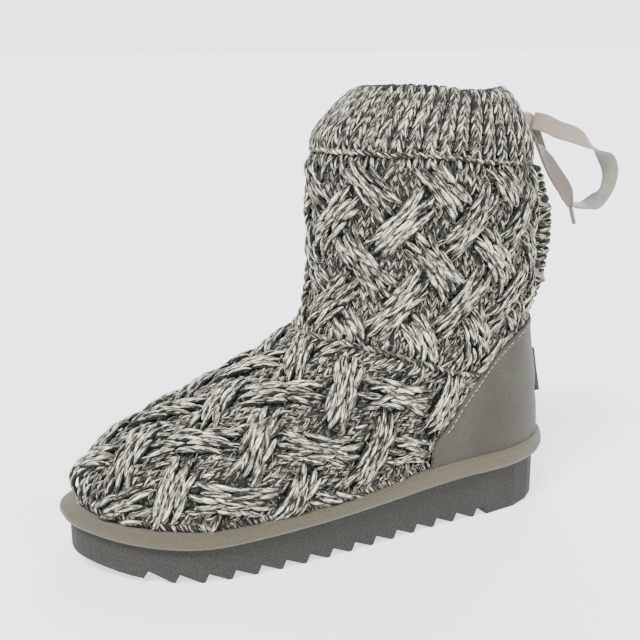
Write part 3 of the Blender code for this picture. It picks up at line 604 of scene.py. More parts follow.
# chart of the vamp: length along the ridge from the toe, and arc down the side from the ridge.
# ridgeWay gives that length from along, height and a start; behind ridgeFold the side's arc grows as listed
ridgeWay = (-0.904, 0.428, 221.8 * mm)
ridgeFold = 150 * mm
foldGrowth = ([0.150, 0.175, 0.190, 0.240], [0, 0.005, 0.013, 0.045])
chartLong = np.arange(4, 246, 2.0) * mm
chartDown = np.arange(-136, 137, 2.0) * mm


def buildVampChart():
    turns = np.linspace(0, fullTurn, 361)
    _, along = soleEdge(turns)
    low = bandBase(along) + boot["bandHeight"] * mm
    share = np.linspace(0, 1, 200)[:, None]
    z = low + (collar - 25 * mm - low) * share
    points = formPoint(np.broadcast_to(turns, z.shape), z)
    ridgeRun = ridgeWay[0] * alongOf(points) + ridgeWay[1] * z + ridgeWay[2]
    ridgeRun = np.maximum.accumulate(ridgeRun, axis=0)
    chart = np.zeros((len(chartLong), len(chartDown), 2))
    sideArc = {}
    for row, want in enumerate(chartLong):
        heights = np.array([np.interp(want, ridgeRun[:, k], z[:, k]) for k in range(len(turns))])
        for sign in (1, -1):
            half = slice(180, None, -1) if sign > 0 else slice(180, None)
            feather = np.maximum.accumulate(ridgeRun[0, half])
            last = np.interp(want, feather, turns[half])
            sample = np.linspace(math.pi, last, 90)
            level = np.interp(sample, turns, heights)
            run = runLength(formPoint(sample, level))
            if want <= ridgeFold:
                sideArc[sign] = run[-1]
                down = run
            else:
                end = sideArc[sign] + np.interp(want, *foldGrowth)
                down = end - (run[-1] - run)
            pick = chartDown >= 0 if sign > 0 else chartDown < 0
            at = np.abs(chartDown[pick])
            chart[row, pick, 0] = np.interp(at, down, sample)
            chart[row, pick, 1] = np.interp(at, down, level) - np.maximum(at - down[-1], 0)
    return chart


vampChart = buildVampChart()
print("charts ready")


def vampSpot(ridgeRun, down):
    i = np.clip((ridgeRun - chartLong[0]) / (chartLong[1] - chartLong[0]), 0, len(chartLong) - 1.001)
    j = np.clip((down - chartDown[0]) / (chartDown[1] - chartDown[0]), 0, len(chartDown) - 1.001)
    i0, j0 = i.astype(int), j.astype(int)
    fi, fj = (i - i0)[..., None], (j - j0)[..., None]
    spot = ((vampChart[i0, j0] * (1 - fi) + vampChart[i0 + 1, j0] * fi) * (1 - fj)
            + (vampChart[i0, j0 + 1] * (1 - fi) + vampChart[i0 + 1, j0 + 1] * fi) * fj)
    return spot[..., 0], spot[..., 1]


# two ply yarn in a light and a dark wool: streaks along the strand, each stitch from its own place in the
# lot, more of the dark ply painted where shade falls
def marledYarn(name, light, mid, dark):
    made, tree, shader = newMaterial(name, light, Roughness=0.92, Sheen_Weight=0.15, Specular_IOR_Level=0.25)
    strand = addNode(tree, "UVMap", uv_map="strand")
    lot = addNode(tree, "Attribute", attribute_name="lot")
    place = addNode(tree, "VectorMath", {0: (strand, 0), 1: (lot, "Vector")}, operation="ADD")
    streaks = addNode(tree, "Mapping", {"Vector": (place, 0), "Rotation": (0, 0, 0.06),
                                        "Scale": (200, 900, 300)})
    streak = addNode(tree, "TexNoise", {"Vector": (streaks, 0), "Scale": 1.0, "Detail": 3.0,
                                        "Roughness": 0.6, "Distortion": 0.25})
    fibres = addNode(tree, "Mapping", {"Vector": (place, 0), "Rotation": (0, 0, 0.10),
                                       "Scale": (480, 2900, 600)})
    fibre = addNode(tree, "TexNoise", {"Vector": (fibres, 0), "Scale": 1.0, "Detail": 2.0})
    # painted shade: each point's shade value, darker in hollows and on the sides of stitches, lighter on
    # crowns
    deep = addNode(tree, "Attribute", attribute_name="deep")
    body = addNode(tree, "TexCoord")
    cluster = addNode(tree, "TexNoise", {"Vector": (body, "Object"), "Scale": 95.0, "Detail": 1.0})
    paintedHollowShade = addNode(tree, "Math", {0: (deep, "Fac"), 1: -knit["paintedHollowShade"], 2: (streak, "Fac")},
                     operation="MULTIPLY_ADD")
    marl = addNode(tree, "Math", {0: (cluster, "Fac"), 1: knit["cluster"], 2: (paintedHollowShade, 0)},
                   operation="MULTIPLY_ADD")
    mixed = addNode(tree, "Math", {0: (fibre, "Fac"), 1: knit["fibre"], 2: (marl, 0)},
                    operation="MULTIPLY_ADD")
    cut = knit["cut"] + knit["fibre"] / 2 + knit["cluster"] / 2
    paintRamp(tree, shader, (mixed, 0), [(cut - 0.085, dark), (cut + 0.12, light), (cut, mid)])
    ply = addNode(tree, "TexWave", {"Vector": (place, 0), "Scale": 210.0, "Distortion": 0.6,
                                    "Detail": 1.0}, bands_direction="Y")
    relief = addNode(tree, "Math", {0: (fibre, "Fac"), 1: (ply, "Fac")}, operation="ADD")
    paintBump(tree, shader, (relief, 0), 0.7, 0.35)
    return made


yarnPaint = marledYarn("marled wool blend yarn", knit["light"], knit["mid"], knit["dark"])


# the knit behind the strips: the same yarn in shadow, small stitches in relief
groundPaint = finePattern("marled yarn, purl ground", "3A3A36", "Voronoi", {"Scale": 420.0},
                          [(0.0, "6B6B63"), (0.55, "1C1C1A")], (0.8, 0.9, True), Roughness=1.0)
# sheared pile: pale curls and hollows, no gloss
fleecePaint = finePattern("sheared pile fleece", "CFCAC0", "Noise",
                          {"Scale": 330.0, "Detail": 4.0, "Distortion": 1.2},
                          [(0.35, "8F897E"), (0.62, "DAD6CC")], (1.0, 1.6), Roughness=1.0, Sheen_Weight=0.4)


# the upper's own wall: dark ground outside, fleece inside, up to the cuff's seam
def buildWall():
    turns = np.linspace(0, fullTurn, 161)[:-1]
    _, along = soleEdge(turns)
    low, high = featherHeight(along), cuffBase(turns)
    layers = []
    upward = np.linspace(-0.01, 1.0, 90)
    for out, shares in ((knit["ground"], upward), (-knit["wall"], np.linspace(1.0, -0.01, 90))):
        for share in shares:
            z = low + (high - low) * share
            layers.append(formOut(turns, z, out * mm))
    rows = len(layers)
    quads = np.vstack([gridQuads(rows, len(turns), closed=True), gridQuads(2, len(turns), closed=True)])
    last = quads[-len(turns):]
    last[:, 2:] -= len(turns)
    last[:, :2] += (rows - 1) * len(turns)
    shade = np.zeros(len(quads), int)
    shade[(len(upward) - 1) * len(turns):] = 1
    makePiece("knitGround", np.array(layers), quads[:, ::-1], [groundPaint, fleecePaint],
              ["upper"], faceMaterial=shade)


# rounded lobes of yarn along centre lines given as turn, height and distance out, a row of each array
# for a lobe. They come back as points, quads, UVs, lots and painted shade values
def yarnLobes(turns, z, out, width, around=8, flat=0.85, pointed=0.55, endShare=0.3, deep=0.4, sides=4.0,
              crown=1.0):
    count, steps = turns.shape
    width = np.broadcast_to(width, (count,))
    line = formOut(turns, z, out)
    normal = formNormal(turns, z)
    ahead = unit(np.gradient(line, axis=1))
    side = unit(np.cross(normal, ahead))
    normal = np.cross(ahead, side)
    t = np.linspace(0, 1, steps)
    swell = endShare + (1 - endShare) * np.sin(math.pi * t) ** pointed
    radius = width[:, None] / 2 * swell
    angle = fullTurn * np.arange(around) / around
    ring = (line[:, :, None] + side[:, :, None] * (radius[..., None] * np.cos(angle))[..., None]
            + normal[:, :, None] * (radius[..., None] * flat * np.sin(angle))[..., None])
    quads = gridQuads(steps, around, closed=True)
    caps = [(k, k + 1, around - 2 - k, around - 1 - k) for k in range(around // 2 - 1)]
    far = (steps - 1) * around
    ends = [(q[3], q[2], q[1], q[0]) for q in caps] + [tuple(far + k for k in q) for q in caps]
    quads = np.vstack([quads[:, ::-1], np.array(ends)[:, ::-1]])
    starts = np.arange(count)[:, None, None] * steps * around
    stepLengths = np.linalg.norm(np.diff(line, axis=1), axis=2)
    run = np.concatenate([np.zeros((count, 1)), np.cumsum(stepLengths, axis=1)], 1)
    roundIt = (angle / fullTurn)[None, None] * (width * 3)[:, None, None]
    uv = np.stack(np.broadcast_arrays(run[:, :, None], roundIt), -1)
    lot = np.repeat(chance.random(count), steps * around)
    # painted shade: the sides of a stitch are painted darker than its crown, where the light falls, which
    # faces inward for crown -1
    deep = np.broadcast_to(deep, (count, steps)) + chance.normal(0, 0.2, (count, 1))
    top = np.broadcast_to(crown, (count,))[:, None, None] * np.sin(angle)
    deep = deep[..., None] + sides * (1 - np.clip(top, 0, 1)) ** 1.5
    return ring.reshape(-1, 3), (quads[None] + starts).reshape(-1, 4), uv.reshape(-1, 2), lot, deep.ravel()


# several sets of lobes as one: points, quads, UVs, lots and painted shade values
def joinSets(sets):
    starts = np.cumsum([0] + [len(one[0]) for one in sets])
    parts = [np.concatenate([one[k] for one in sets]) for k in range(5)]
    parts[1] = np.concatenate([one[1] + start for one, start in zip(sets, starts)])
    return parts


def knitPiece(name, sets):
    points, quads, uvs, lots, paintedShades = joinSets(sets)
    piece = makePiece(name, points, quads, [yarnPaint], uvs=uvs, lots=lots, deep=paintedShades)
    print(name, 2 * len(piece.data.polygons), "triangles")


# strip middles of both directions on one chart: (across, along, lean)
def stripMiddles(start, repeat, acrossRange, alongRange):
    middles = []
    for lean, shift in ((1, 0.0), (-1, 0.5)):
        for i in range(*acrossRange):
            for k in range(*alongRange):
                middles.append((start[0] + (i + shift) * knit["acrossRepeat"],
                                start[1] + (k + shift) * repeat, lean))
    return np.array(middles)


# the long stitches of every strip: places on the chart, height over the form, width
def stripLobes(middles, repeat, steps=8):
    columns = np.arange(knit["columns"]) - (knit["columns"] - 1) / 2
    size = math.hypot(knit["acrossRepeat"], repeat)
    rows = []
    for across, along, lean in middles:
        way = np.array([knit["acrossRepeat"] * lean, repeat]) / size
        cross = np.array([way[1], -way[0]])
        for c, column in enumerate(columns):
            for part in (-1, 0, 1):
                middle = part * (knit["lobe"] - knit["overlap"]) + knit["stagger"] * (1 if c % 2 else -1)
                middle += chance.normal(0, 1.0)
                off = column * knit["columnPitch"] + chance.normal(0, 0.2)
                slant = math.radians(knit["splay"] * (1 if c % 2 else -1) + part * column * knit["fan"]
                                     + chance.normal(0, 2.5))
                t = np.linspace(-0.5, 0.5, steps) * knit["lobe"] * (1 + chance.normal(0, 0.07))
                p = middle + t * math.cos(slant)
                q = off * (1 + 0.06 * (p / knit["stripHalf"]) ** 2) + t * math.sin(slant)
                bow = np.clip(1 - np.abs(p / knit["stripHalf"]) ** 2.4, -0.7, 1)
                bow *= 1 - 0.28 * abs(off / 6.5) ** 2.4
                swell = np.sin(math.pi * np.linspace(0, 1, steps)) ** 0.7
                raised = knit["arch"] * bow + knit["swell"] * swell - knit["sink"]
                rows.append((np.array([across, along]) + p[:, None] * way + q[:, None] * cross,
                             raised + chance.normal(0, 0.15),
                             knit["lobeWidth"] * (1 + chance.normal(0, 0.07))))
    return columnsOf(rows, mm)


# short V stitches in the hollows between strips
def hollowLobes(middles, steps=6):
    rows = []
    for across, along, lean in middles:
        for wale in (-1.5, -0.5, 0.5, 1.5):
            for down in (-2, -1, 0, 1, 2):
                if abs(wale) / 2.4 + abs(down) / 3.0 > 1.15:
                    continue
                for leg in (-1, 1):
                    centre = np.array([across + knit["acrossRepeat"] / 2 + wale * knit["wale"],
                                       along + down * knit["row"]])
                    centre += chance.normal(0, 0.4, 2)
                    way = unit(np.array([leg * -knit["legSlope"], 1.0]))
                    t = np.linspace(-0.5, 0.5, steps) * knit["leg"]
                    swell = np.sin(math.pi * np.linspace(0, 1, steps)) ** 0.7
                    raised = -knit["legSink"] + knit["swell"] * swell
                    rows.append((centre + np.array([leg * knit["legSpread"], 0]) + t[:, None] * way,
                                 raised + chance.normal(0, 0.18), knit["legWidth"]))
    return columnsOf(rows, mm)


def backRun(turns):
    run = np.interp(np.mod(turns, fullTurn), ringTurns, ringRun)
    return np.minimum(run, girth - run)


# how far a place is inside the borders of the shaft or the vamp
def roomOnShaft(turns, z):
    along = alongOf(formPoint(turns, z))
    above = np.minimum(z - seamHeight(along) - 0.5 * mm, cuffBase(turns) - knit["cuffClear"] * mm - z)
    beside = np.minimum(above, backRun(turns) - knit["backClear"] * mm)
    return np.minimum(beside, z - counterTop(along) - knit["clear"] * mm)


def roomOnVamp(turns, z):
    along = alongOf(formPoint(turns, z))
    clear = knit["clear"] * mm
    beside = np.maximum(z - counterTop(along) - clear, along - boot["counterLength"] - clear)
    return np.minimum(np.minimum(seamHeight(along) - z, beside), z - featherHeight(along) + 1.4 * mm)


# keeps the stitches inside a border and draws them in near it
def settle(places, height, width, spot, room, **shape):
    turns, z = spot(places)
    inside = room(turns, z)
    middle = inside[:, inside.shape[1] // 2]
    border = knit["drawIn"] * mm
    keep = (middle > 0) & (inside.min(1) > -border)
    draw = np.clip(inside[keep] / border, -0.6, 1)
    out = height[keep] - knit["drawDeep"] * mm * (1 - draw)
    # painted shade: a stitch that sits lower is painted darker, one standing proud lighter
    deep = np.clip(0.5 - out / (3 * mm), -0.3, 1.0)
    return yarnLobes(turns[keep], z[keep], out, width[keep], deep=deep, **shape)


def spotShaft(places):
    return shaftSpot(places[..., 0], places[..., 1])


def spotVamp(places):
    return vampSpot(places[..., 1], -places[..., 0])


buildWall()
shaftMiddles = stripMiddles(knit["shaftStart"], knit["shaftRepeat"], (0, 10), (-2, 4))
vampStart = (-knit["vampStart"][0], knit["vampStart"][1])
vampMiddles = stripMiddles(vampStart, knit["vampRepeat"], (-4, 5), (-1, 5))
panels = {
    "knitShaft": (shaftMiddles, knit["shaftRepeat"], spotShaft, roomOnShaft),
    "knitVamp": (vampMiddles, knit["vampRepeat"], spotVamp, roomOnVamp),
}
for name, (middles, repeat, spot, room) in panels.items():
    knitPiece(name, [settle(*stripLobes(middles, repeat), spot, room)])
    knitPiece(name + "Hollows", [settle(*hollowLobes(middles), spot, room, around=6)])


# ribbed cuff: pairs of stitches leaning together up each rib and over the rim, purl stitches between,
# a rope of purl at its seam
cuff = {
    "ribs": 47,
    "rows": 7,
    "stitch": 7.4,
    "stitchWidth": 3.0,
    "lean": 27,
    "spread": 1.35,               # from a rib's middle to each of its two stitches
    "ribRaise": 1.5,
    "insideRows": 4,
    "turnShare": 1.03,            # above this share of the height the cuff faces inward
    # turn, how much higher the rim stands there
    "rim": [(0.0, 0.6), (0.4, 1.4), (1.0, 1.8), (1.4, 1.4), (1.75, 1.6), (2.0, 3.2), (2.3, 4.2), (2.7, 3.8),
            (3.4, 2.4), (4.0, -0.5), (4.6, -2.4), (5.6, -2.4), (6.0, -0.8)],
    "purlHalf": 1.6,
    "purlWidth": 1.8,
    "ropeStitches": 104,
    "ropeStitch": 5.2,
    "ropeWidth": 2.7,
    "underStitches": 118,
    "underStitch": 7.4,
    "underWidth": 2.6,
    # share of the height, height share, distance out
    "profile": [(0.0, 0.0, 0.4), (0.12, 0.12, 1.2), (0.5, 0.5, 1.2), (0.85, 0.85, 0.4), (0.93, 0.935, -0.4),
                (1.0, 0.985, -1.8), (1.06, 0.97, -3.3), (1.12, 0.90, -4.2), (1.5, 0.50, -4.3),
                (2.0, 0.02, -4.2)],
}


def cuffSpot(turns, share):
    rows = np.array(cuff["profile"])
    base = cuffBase(turns)
    rim = collar + np.interp(turns, *np.array(cuff["rim"]).T, period=fullTurn) * mm
    rise = smoothThrough(rows[:, 0], rows[:, 1], share)
    return base + (rim - base) * rise, smoothThrough(rows[:, 0], rows[:, 2], share) * mm


def perTurn(turns, z):
    return np.linalg.norm(formPoint(turns + 0.02, z) - formPoint(turns - 0.02, z), axis=-1) / 0.04


def buildCuff():
    # the ground that the ribs stand on
    turns = np.linspace(0, fullTurn, cuff["ribs"] * 4 + 1)[:-1]
    shares = np.linspace(0, 2, 44)
    phase = np.cos(turns * cuff["ribs"])
    layers = []
    for share in shares:
        z, out = cuffSpot(turns, share)
        side = 1 if share < cuff["turnShare"] else -1
        near = min(1, abs(share - cuff["turnShare"]) * 12)
        layers.append(formOut(turns, z, out + side * (0.5 * phase - 0.9) * mm * near))
    quads = gridQuads(len(shares), len(turns), closed=True)
    makePiece("cuffGround", np.array(layers), quads[:, ::-1], [groundPaint], ["rib_cuff"])
    # stitches, leaning in toward the top of each rib
    steps = 7
    t = np.linspace(-0.5, 0.5, steps)
    lean = math.radians(cuff["lean"])
    lines, crowns = [], []
    for rib in range(cuff["ribs"]):
        middle = fullTurn * rib / cuff["ribs"]
        for row in range(cuff["rows"] + cuff["insideRows"]):
            share = (row + 0.35) / (cuff["rows"] + 0.15) + chance.normal(0, 0.006)
            height = collar - cuffBase(middle)
            for leg in (-1, 1):
                crowns.append(1 if share < cuff["turnShare"] else -1)
                up = share + t * cuff["stitch"] * mm / height * math.cos(lean)
                z, out = cuffSpot(np.full(steps, middle), up)
                across = leg * (cuff["spread"] * mm - t * cuff["stitch"] * mm * math.sin(lean) * 0.9)
                across = across + chance.normal(0, 0.12) * mm
                proud = cuff["ribRaise"] - 0.55 + 0.72 * (t + 0.5) + chance.normal(0, 0.1)
                lines.append((middle + across / perTurn(middle, 0.9 * collar), z,
                              out + proud * mm * np.clip((cuff["turnShare"] - up) * 8, -1, 1)))
    turn, z, out = columnsOf(lines)
    width = cuff["stitchWidth"] * mm * (1 + chance.normal(0, 0.06, len(lines)))
    # painted shade: the rib stitches painted much darker on their sides than on their crowns
    ribs = yarnLobes(turn, z, out, width, pointed=0.5, endShare=0.35, deep=0.2, sides=6.0,
                     crown=np.array(crowns))
    # purl bars between the ribs
    lines = []
    for rib in range(cuff["ribs"]):
        middle = fullTurn * (rib + 0.5) / cuff["ribs"]
        for row in range(cuff["rows"] * 2):
            share = (row + 0.5) / (cuff["rows"] * 2) + chance.normal(0, 0.008)
            z, out = cuffSpot(np.full(5, middle), np.full(5, share))
            across = np.linspace(-cuff["purlHalf"], cuff["purlHalf"], 5) * mm
            lines.append((middle + across / perTurn(middle, 0.9 * collar), z,
                          out + (0.15 - 0.5 * (across / (cuff["purlHalf"] * mm)) ** 2) * mm))
    turn, z, out = columnsOf(lines)
    # painted shade: the purl bars between the ribs painted darker, as they lie in shade
    purls = yarnLobes(turn, z, out, cuff["purlWidth"] * mm, around=6, deep=2.2)
    knitPiece("knitCuff", [ribs, purls])


# twisted rope of purl at the cuff's seam, with upright stitches hanging under it
def buildCuffSeam():
    count, steps = cuff["ropeStitches"], 7
    middles = fullTurn * np.arange(count) / count
    t = np.linspace(-0.5, 0.5, steps)
    turn = middles[:, None] + t * cuff["ropeStitch"] * mm / perTurn(middles, 0.85 * collar)[:, None]
    z = cuffBase(turn) + (-0.6 + 2.2 * t) * mm + chance.normal(0, 0.2, (count, 1)) * mm
    rope = yarnLobes(turn, z, np.broadcast_to((1.5 - 3.0 * t**2) * mm, turn.shape), cuff["ropeWidth"] * mm)
    count = cuff["underStitches"]
    middles = fullTurn * (np.arange(count) + 0.5) / count
    lean = np.where(np.arange(count) % 2, 1, -1)[:, None]
    turn = middles[:, None] + lean * t * 1.5 * mm / perTurn(middles, 0.85 * collar)[:, None]
    z = cuffBase(turn) - (4.9 + chance.normal(0, 0.5, (count, 1)) + cuff["underStitch"] * t) * mm
    out = np.broadcast_to((0.25 - 3.4 * (t + 0.05) ** 2) * mm, turn.shape)
    under = yarnLobes(turn, z, out, cuff["underWidth"] * mm)
    knitPiece("knitCuffSeam", [rope, under])


# loose fibres standing off the knit
def buildHairs():
    count = knit["hairs"]
    turns = chance.uniform(0, fullTurn, count * 2)
    z = chance.uniform(30 * mm, collar - 2 * mm, count * 2)
    onKnit = (roomOnShaft(turns, z) > 0) | (roomOnVamp(turns, z) > 0) | (z > cuffBase(turns))
    keep = np.flatnonzero(onKnit)[:count]
    turns, z, count = turns[keep], z[keep], len(keep)
    root = formOut(turns, z, chance.uniform(0.5, 2.6, count) * mm)
    normal = formNormal(turns, z)
    stray = chance.normal(0, 1, (count, 3))
    way = unit(normal * chance.uniform(0.2, 0.9, (count, 1)) + stray * 0.55)
    bend = chance.normal(0, 0.5, (count, 3)) - normal * 0.3
    length = knit["hair"] * mm * chance.uniform(0.4, 1.0, (count, 1))
    wide = unit(np.cross(way, stray))
    t = np.linspace(0, 1, 4)[None, :, None]
    line = root[:, None] + length[:, None] * (way[:, None] * t + bend[:, None] * t**2 * 0.5)
    half = wide[:, None] * (knit["hairWidth"] / 2 - 0.04 * t) * mm
    points = np.stack([line - half, line + half], 2)
    quads = gridQuads(4, 2)[None] + np.arange(count)[:, None, None] * 8
    uv = np.stack(np.broadcast_arrays(t[..., 0] * length, np.zeros_like(length)), -1)
    uv = np.repeat(uv[:, :, None], 2, 2)
    # painted light: the loose fibres are painted lighter, as if lit
    makePiece("looseFibres", points, quads.reshape(-1, 4), [yarnPaint], uvs=uv,
              lots=np.repeat(chance.random(count), 8), deep=np.full(count * 8, -0.4))


buildCuff()
buildCuffSeam()
buildHairs()
print("cuff ready")


# a row of stitches along a path on the form: off the path by offset, leaning by degrees
def stitchRow(turns, z, pitch, length, width, lean, out, offset=0.0, bow=1.0, steps=6, start=0.0, **shape):
    run = runLength(formPoint(turns, z))
    middles = np.arange(pitch * (0.5 + start), run[-1], pitch)
    middles = middles + chance.normal(0, 0.06, len(middles)) * pitch
    t = np.linspace(-0.5, 0.5, steps)
    angle = np.radians(lean + chance.normal(0, 3, len(middles)))[:, None]
    at = middles[:, None] + t * length * np.cos(angle)
    off = offset + t * length * np.sin(angle)
    turn, height = np.interp(at, run, turns), np.interp(at, run, z)
    size = perTurn(turn, height)
    ahead = np.stack([np.gradient(turns) * perTurn(turns, z), np.gradient(z)])
    ahead /= np.linalg.norm(ahead, axis=0)
    ct, cz = np.interp(at, run, ahead[0]), np.interp(at, run, ahead[1])
    outs = out + bow * mm * (0.25 - t**2) * 4 + chance.normal(0, 0.1, (len(middles), 1)) * mm
    return yarnLobes(turn - cz * off / size, height + ct * off, outs, width, **shape)


def chainRow(turns, z, pitch, length, width, out, spread, lean=26):
    return [stitchRow(turns, z, pitch, length, width, side * lean, out, side * spread) for side in (-1, 1)]


# turns and heights of a border whose height is given by along
def borderPath(height, turns, first):
    z = np.full(len(turns), first)
    for _ in range(40):
        z = 0.5 * z + 0.5 * height(alongOf(formPoint(turns, z)))
    return turns, z


# the turns where a level cut passes along, outer side first
def turnsAt(along, z):
    sweep = np.linspace(0, math.pi, 721)
    level = np.full(721, z)
    return [side * np.interp(along, alongOf(formPoint(side * sweep, level)), sweep) for side in (1, -1)]


seamTurns, seamZ = borderPath(seamHeight, np.linspace(0.9, fullTurn - 0.9, 400), 95 * mm)
seamKeep = seamZ > counterTop(alongOf(formPoint(seamTurns, seamZ))) + 3 * mm
seamTurns, seamZ = seamTurns[seamKeep], seamZ[seamKeep]
edgeFront = turnsAt(boot["counterLength"] - 0.2 * mm, 38 * mm)
edgeTurns, edgeZ = borderPath(counterTop, np.linspace(edgeFront[0], edgeFront[1], 300), 60 * mm)
hemTurns = np.linspace(edgeFront[0] + 0.01, fullTurn + edgeFront[1] - 0.01, 700)
hemZ = featherHeight(soleEdge(hemTurns)[1]) + 1.6 * mm
borders = {"seam": (seamTurns, seamZ), "edge": (edgeTurns, edgeZ), "hem": (hemTurns, hemZ)}
# border, height over it, pitch, length, width, lean in degrees, distance out, offset from the path,
# fullness, start
seamStitches = [
    ("seam", 0.0, 3.6, 6.2, 2.4, 17, 0.8, 0.0, 1.0, 0.0),
    ("seam", 0.0, 3.3, 6.4, 2.5, 62, -0.4, 2.9, 1.0, 0.0),
    ("seam", 0.0, 3.3, 6.4, 2.5, -58, -0.6, -3.0, 1.0, 0.0),
    ("edge", 0.0, 4.3, 7.4, 2.6, 9, -0.2, -1.9, 1.0, 0.0),
    ("edge", 0.0, 4.3, 7.0, 2.6, -24, -0.4, -4.0, 1.0, 0.5),
    ("hem", 0.0, 2.7, 6.2, 2.6, 64, -0.7, 0.0, 1.3, 0.0),
    ("hem", 2.6, 3.1, 6.0, 2.5, -48, -1.3, 0.0, 1.2, 0.0),
]
seamSets = []
for border, over, pitch, length, width, lean, out, offset, bow, start in seamStitches:
    turns, z = borders[border]
    seamSets.append(stitchRow(turns, z + over * mm, pitch * mm, length * mm, width * mm, lean, out * mm,
                              offset * mm, bow, start=start))
knitPiece("knitSeam", seamSets)


# laced back: two curled edges with a gap, a chain of stitches beside each
backLacing = {
    "gap": 7.0, "edgeWidth": 9.0, "raise": 12.0, "puff": 1.6, "rowPitch": 3.9, "stitch": 4.1,
    # share of height, share of the raise
    "bulge": [(0.00, 0.20), (0.10, 0.50), (0.28, 0.80), (0.48, 1.00), (0.64, 1.00), (0.80, 0.75),
              (1.00, 0.45)],
    # share of width, share of the raise
    "section": [(-0.02, -0.12), (-0.08, 0.5), (0.15, 0.88), (0.5, 1.0), (0.85, 0.65), (1.0, -0.1)],
    "chains": (13.6, 18.4),       # how far beside the middle each chain runs
    "chain": (4.6, 6.6, 2.6, -0.2, 1.15),  # pitch, length, width, distance out, half its spread
    "spread": 17.0, "rise": 9.0,
    # height over the instep, lift over the edges
    "crossings": {"ribbon_crossing_upper": (47.0, 2.8), "ribbon_crossing_lower": (8.0, 2.8 * 1.4)},
    # share of an arm, share of the lift there
    "arm": [(0, 1), (0.42, 1), (0.56, 0.8), (0.72, 0.42), (1, 0.05)],
}
edgeLow, edgeHigh = boot["counterHeight"] + 0.6 * mm, collar - 40 * mm - 0.6 * mm


def edgeRaise(z):
    rows = np.array(backLacing["bulge"])
    share = (z - edgeLow) / (edgeHigh - edgeLow)
    return backLacing["raise"] * mm * smoothThrough(rows[:, 0], rows[:, 1], share)


# place on a curled edge: along its section from the gap outward, at a height
def edgePlace(side, along, z, shrink=0.0):
    rows = np.array(backLacing["section"])
    at = np.linspace(0, 1, len(rows))
    across = smoothThrough(at, rows[:, 0], along) * (backLacing["edgeWidth"] - shrink)
    across = across + backLacing["gap"] / 2 + shrink / 2
    out = smoothThrough(at, rows[:, 1], along) * (edgeRaise(z) + (backLacing["puff"] - shrink) * mm)
    turn, _ = shaftSpot(side * across * mm, z)
    return turn, z, out


def buildBackEdges():
    for side, node in ((1, "back_edge_left"), (-1, "back_edge_right")):
        along, z = np.meshgrid(np.linspace(0, 1, 14), np.linspace(edgeLow, edgeHigh, 40))
        turn, z, out = edgePlace(side, along, z, 1.6)
        points = formOut(turn, z, out)
        quads = gridQuads(40, 14, closed=True)
        makePiece("edgeGround_" + node[10:], points, quads if side > 0 else quads[:, ::-1], [groundPaint],
                  [node])
        lines = []
        for row, level in enumerate(np.arange(edgeLow + 1.5 * mm, edgeHigh, backLacing["rowPitch"] * mm)):
            for part in range(4):
                middle = 0.06 + 0.29 * part + (0.05 if row % 2 else -0.03) + chance.normal(0, 0.015)
                u = np.clip(middle + np.linspace(-0.19, 0.19, 8), 0, 1)
                slope = np.linspace(-0.9, 0.9, 8) * (1 if part % 2 else -1)
                height = level + (slope + chance.normal(0, 0.3)) * mm
                turn, z, out = edgePlace(side, u, height)
                lines.append((turn, z, out + (0.5 * np.sin(math.pi * np.linspace(0, 1, 8)) - 0.9) * mm))
        turn, z, out = columnsOf(lines)
        curl = yarnLobes(turn, z, out, backLacing["stitch"] * mm * (1 + chance.normal(0, 0.08, len(lines))))
        z = np.linspace(boot["counterHeight"] + 3 * mm, edgeHigh - 4 * mm, 60)
        chain = []
        for far in backLacing["chains"]:
            turn, _ = shaftSpot(np.full(60, side * far * mm), z)
            turn = np.where(turn > math.pi, turn - fullTurn, turn)
            chain += chainRow(turn, z, *np.array(backLacing["chain"]) * mm)
        knitPiece("knitEdge_" + node[10:], [curl] + chain)


def buildCrossings():
    for node, (level, lift) in backLacing["crossings"].items():
        for lean in (1, -1):
            t = np.linspace(-1, 1, 31)
            z = boot["instep"] + (level + lean * backLacing["rise"] * t) * mm
            turn, _ = shaftSpot(backLacing["spread"] * t * mm, z)
            seat = np.interp(np.abs(t), *np.array(backLacing["arm"]).T)
            out = seat * (edgeRaise(z) + lift * mm) + lean * 0.45 * mm * (1 - t**2)
            line = np.pad(formOut(turn, z, out), ((2, 2), (0, 0)), mode="edge")
            line = np.stack([np.convolve(line[:, k], np.ones(5) / 5, "valid") for k in range(3)], 1)
            side = unit(np.cross(line[-1] - line[0], formNormal(turn[15], z[15])))
            facing = unit(np.cross(side, np.gradient(line, axis=0)))
            ribbonStrip(node + ("_over" if lean > 0 else "_under"), line, facing, 44, [node], ribbonPaint)


# the knot: ribbon wound once round the bow's middle, with soft folds
knot = {"place": (0, 127, 205), "size": (9.0, 9.5, 11.0), "fold": 0.035, "crease": 0.03}


def buildKnot():
    size = np.array(knot["size"]) * mm
    across = np.linspace(-1, 1, 27)
    around = np.linspace(0, fullTurn, 49)[:-1]
    x, angle = np.meshgrid(across, around, indexing="ij")
    taper = (1 - np.abs(x) ** 3.4) ** (1 / 3.4)
    folds = 1 + knot["fold"] * np.sin(9 * x + 0.9 * np.sin(angle))
    folds += knot["crease"] * np.sin(4 * x - 1.3 * np.cos(2 * angle))
    corner = (np.abs(np.cos(angle)) ** 3 + np.abs(np.sin(angle)) ** 3) ** (-1 / 3)
    radius = np.maximum(taper, 0.05) * folds * corner * 0.96
    middle = routeWorld([(*knot["place"], 0, 0, 0)])[0][0]
    points = middle + np.stack([x * size[0] / 2, radius * np.cos(angle) * size[1] / 2,
                                radius * np.sin(angle) * size[2] / 2], -1)
    uv = np.stack([angle * 5 * mm, x * size[0] / 2], -1).reshape(-1, 2)
    makePiece("ribbonKnotWrap", points, gridQuads(*x.shape, closed=True)[:, ::-1], [ribbonFace],
              ["ribbon_knot"], uvs=uv)


buildBackEdges()
buildCrossings()
buildKnot()
print("laced back ready")


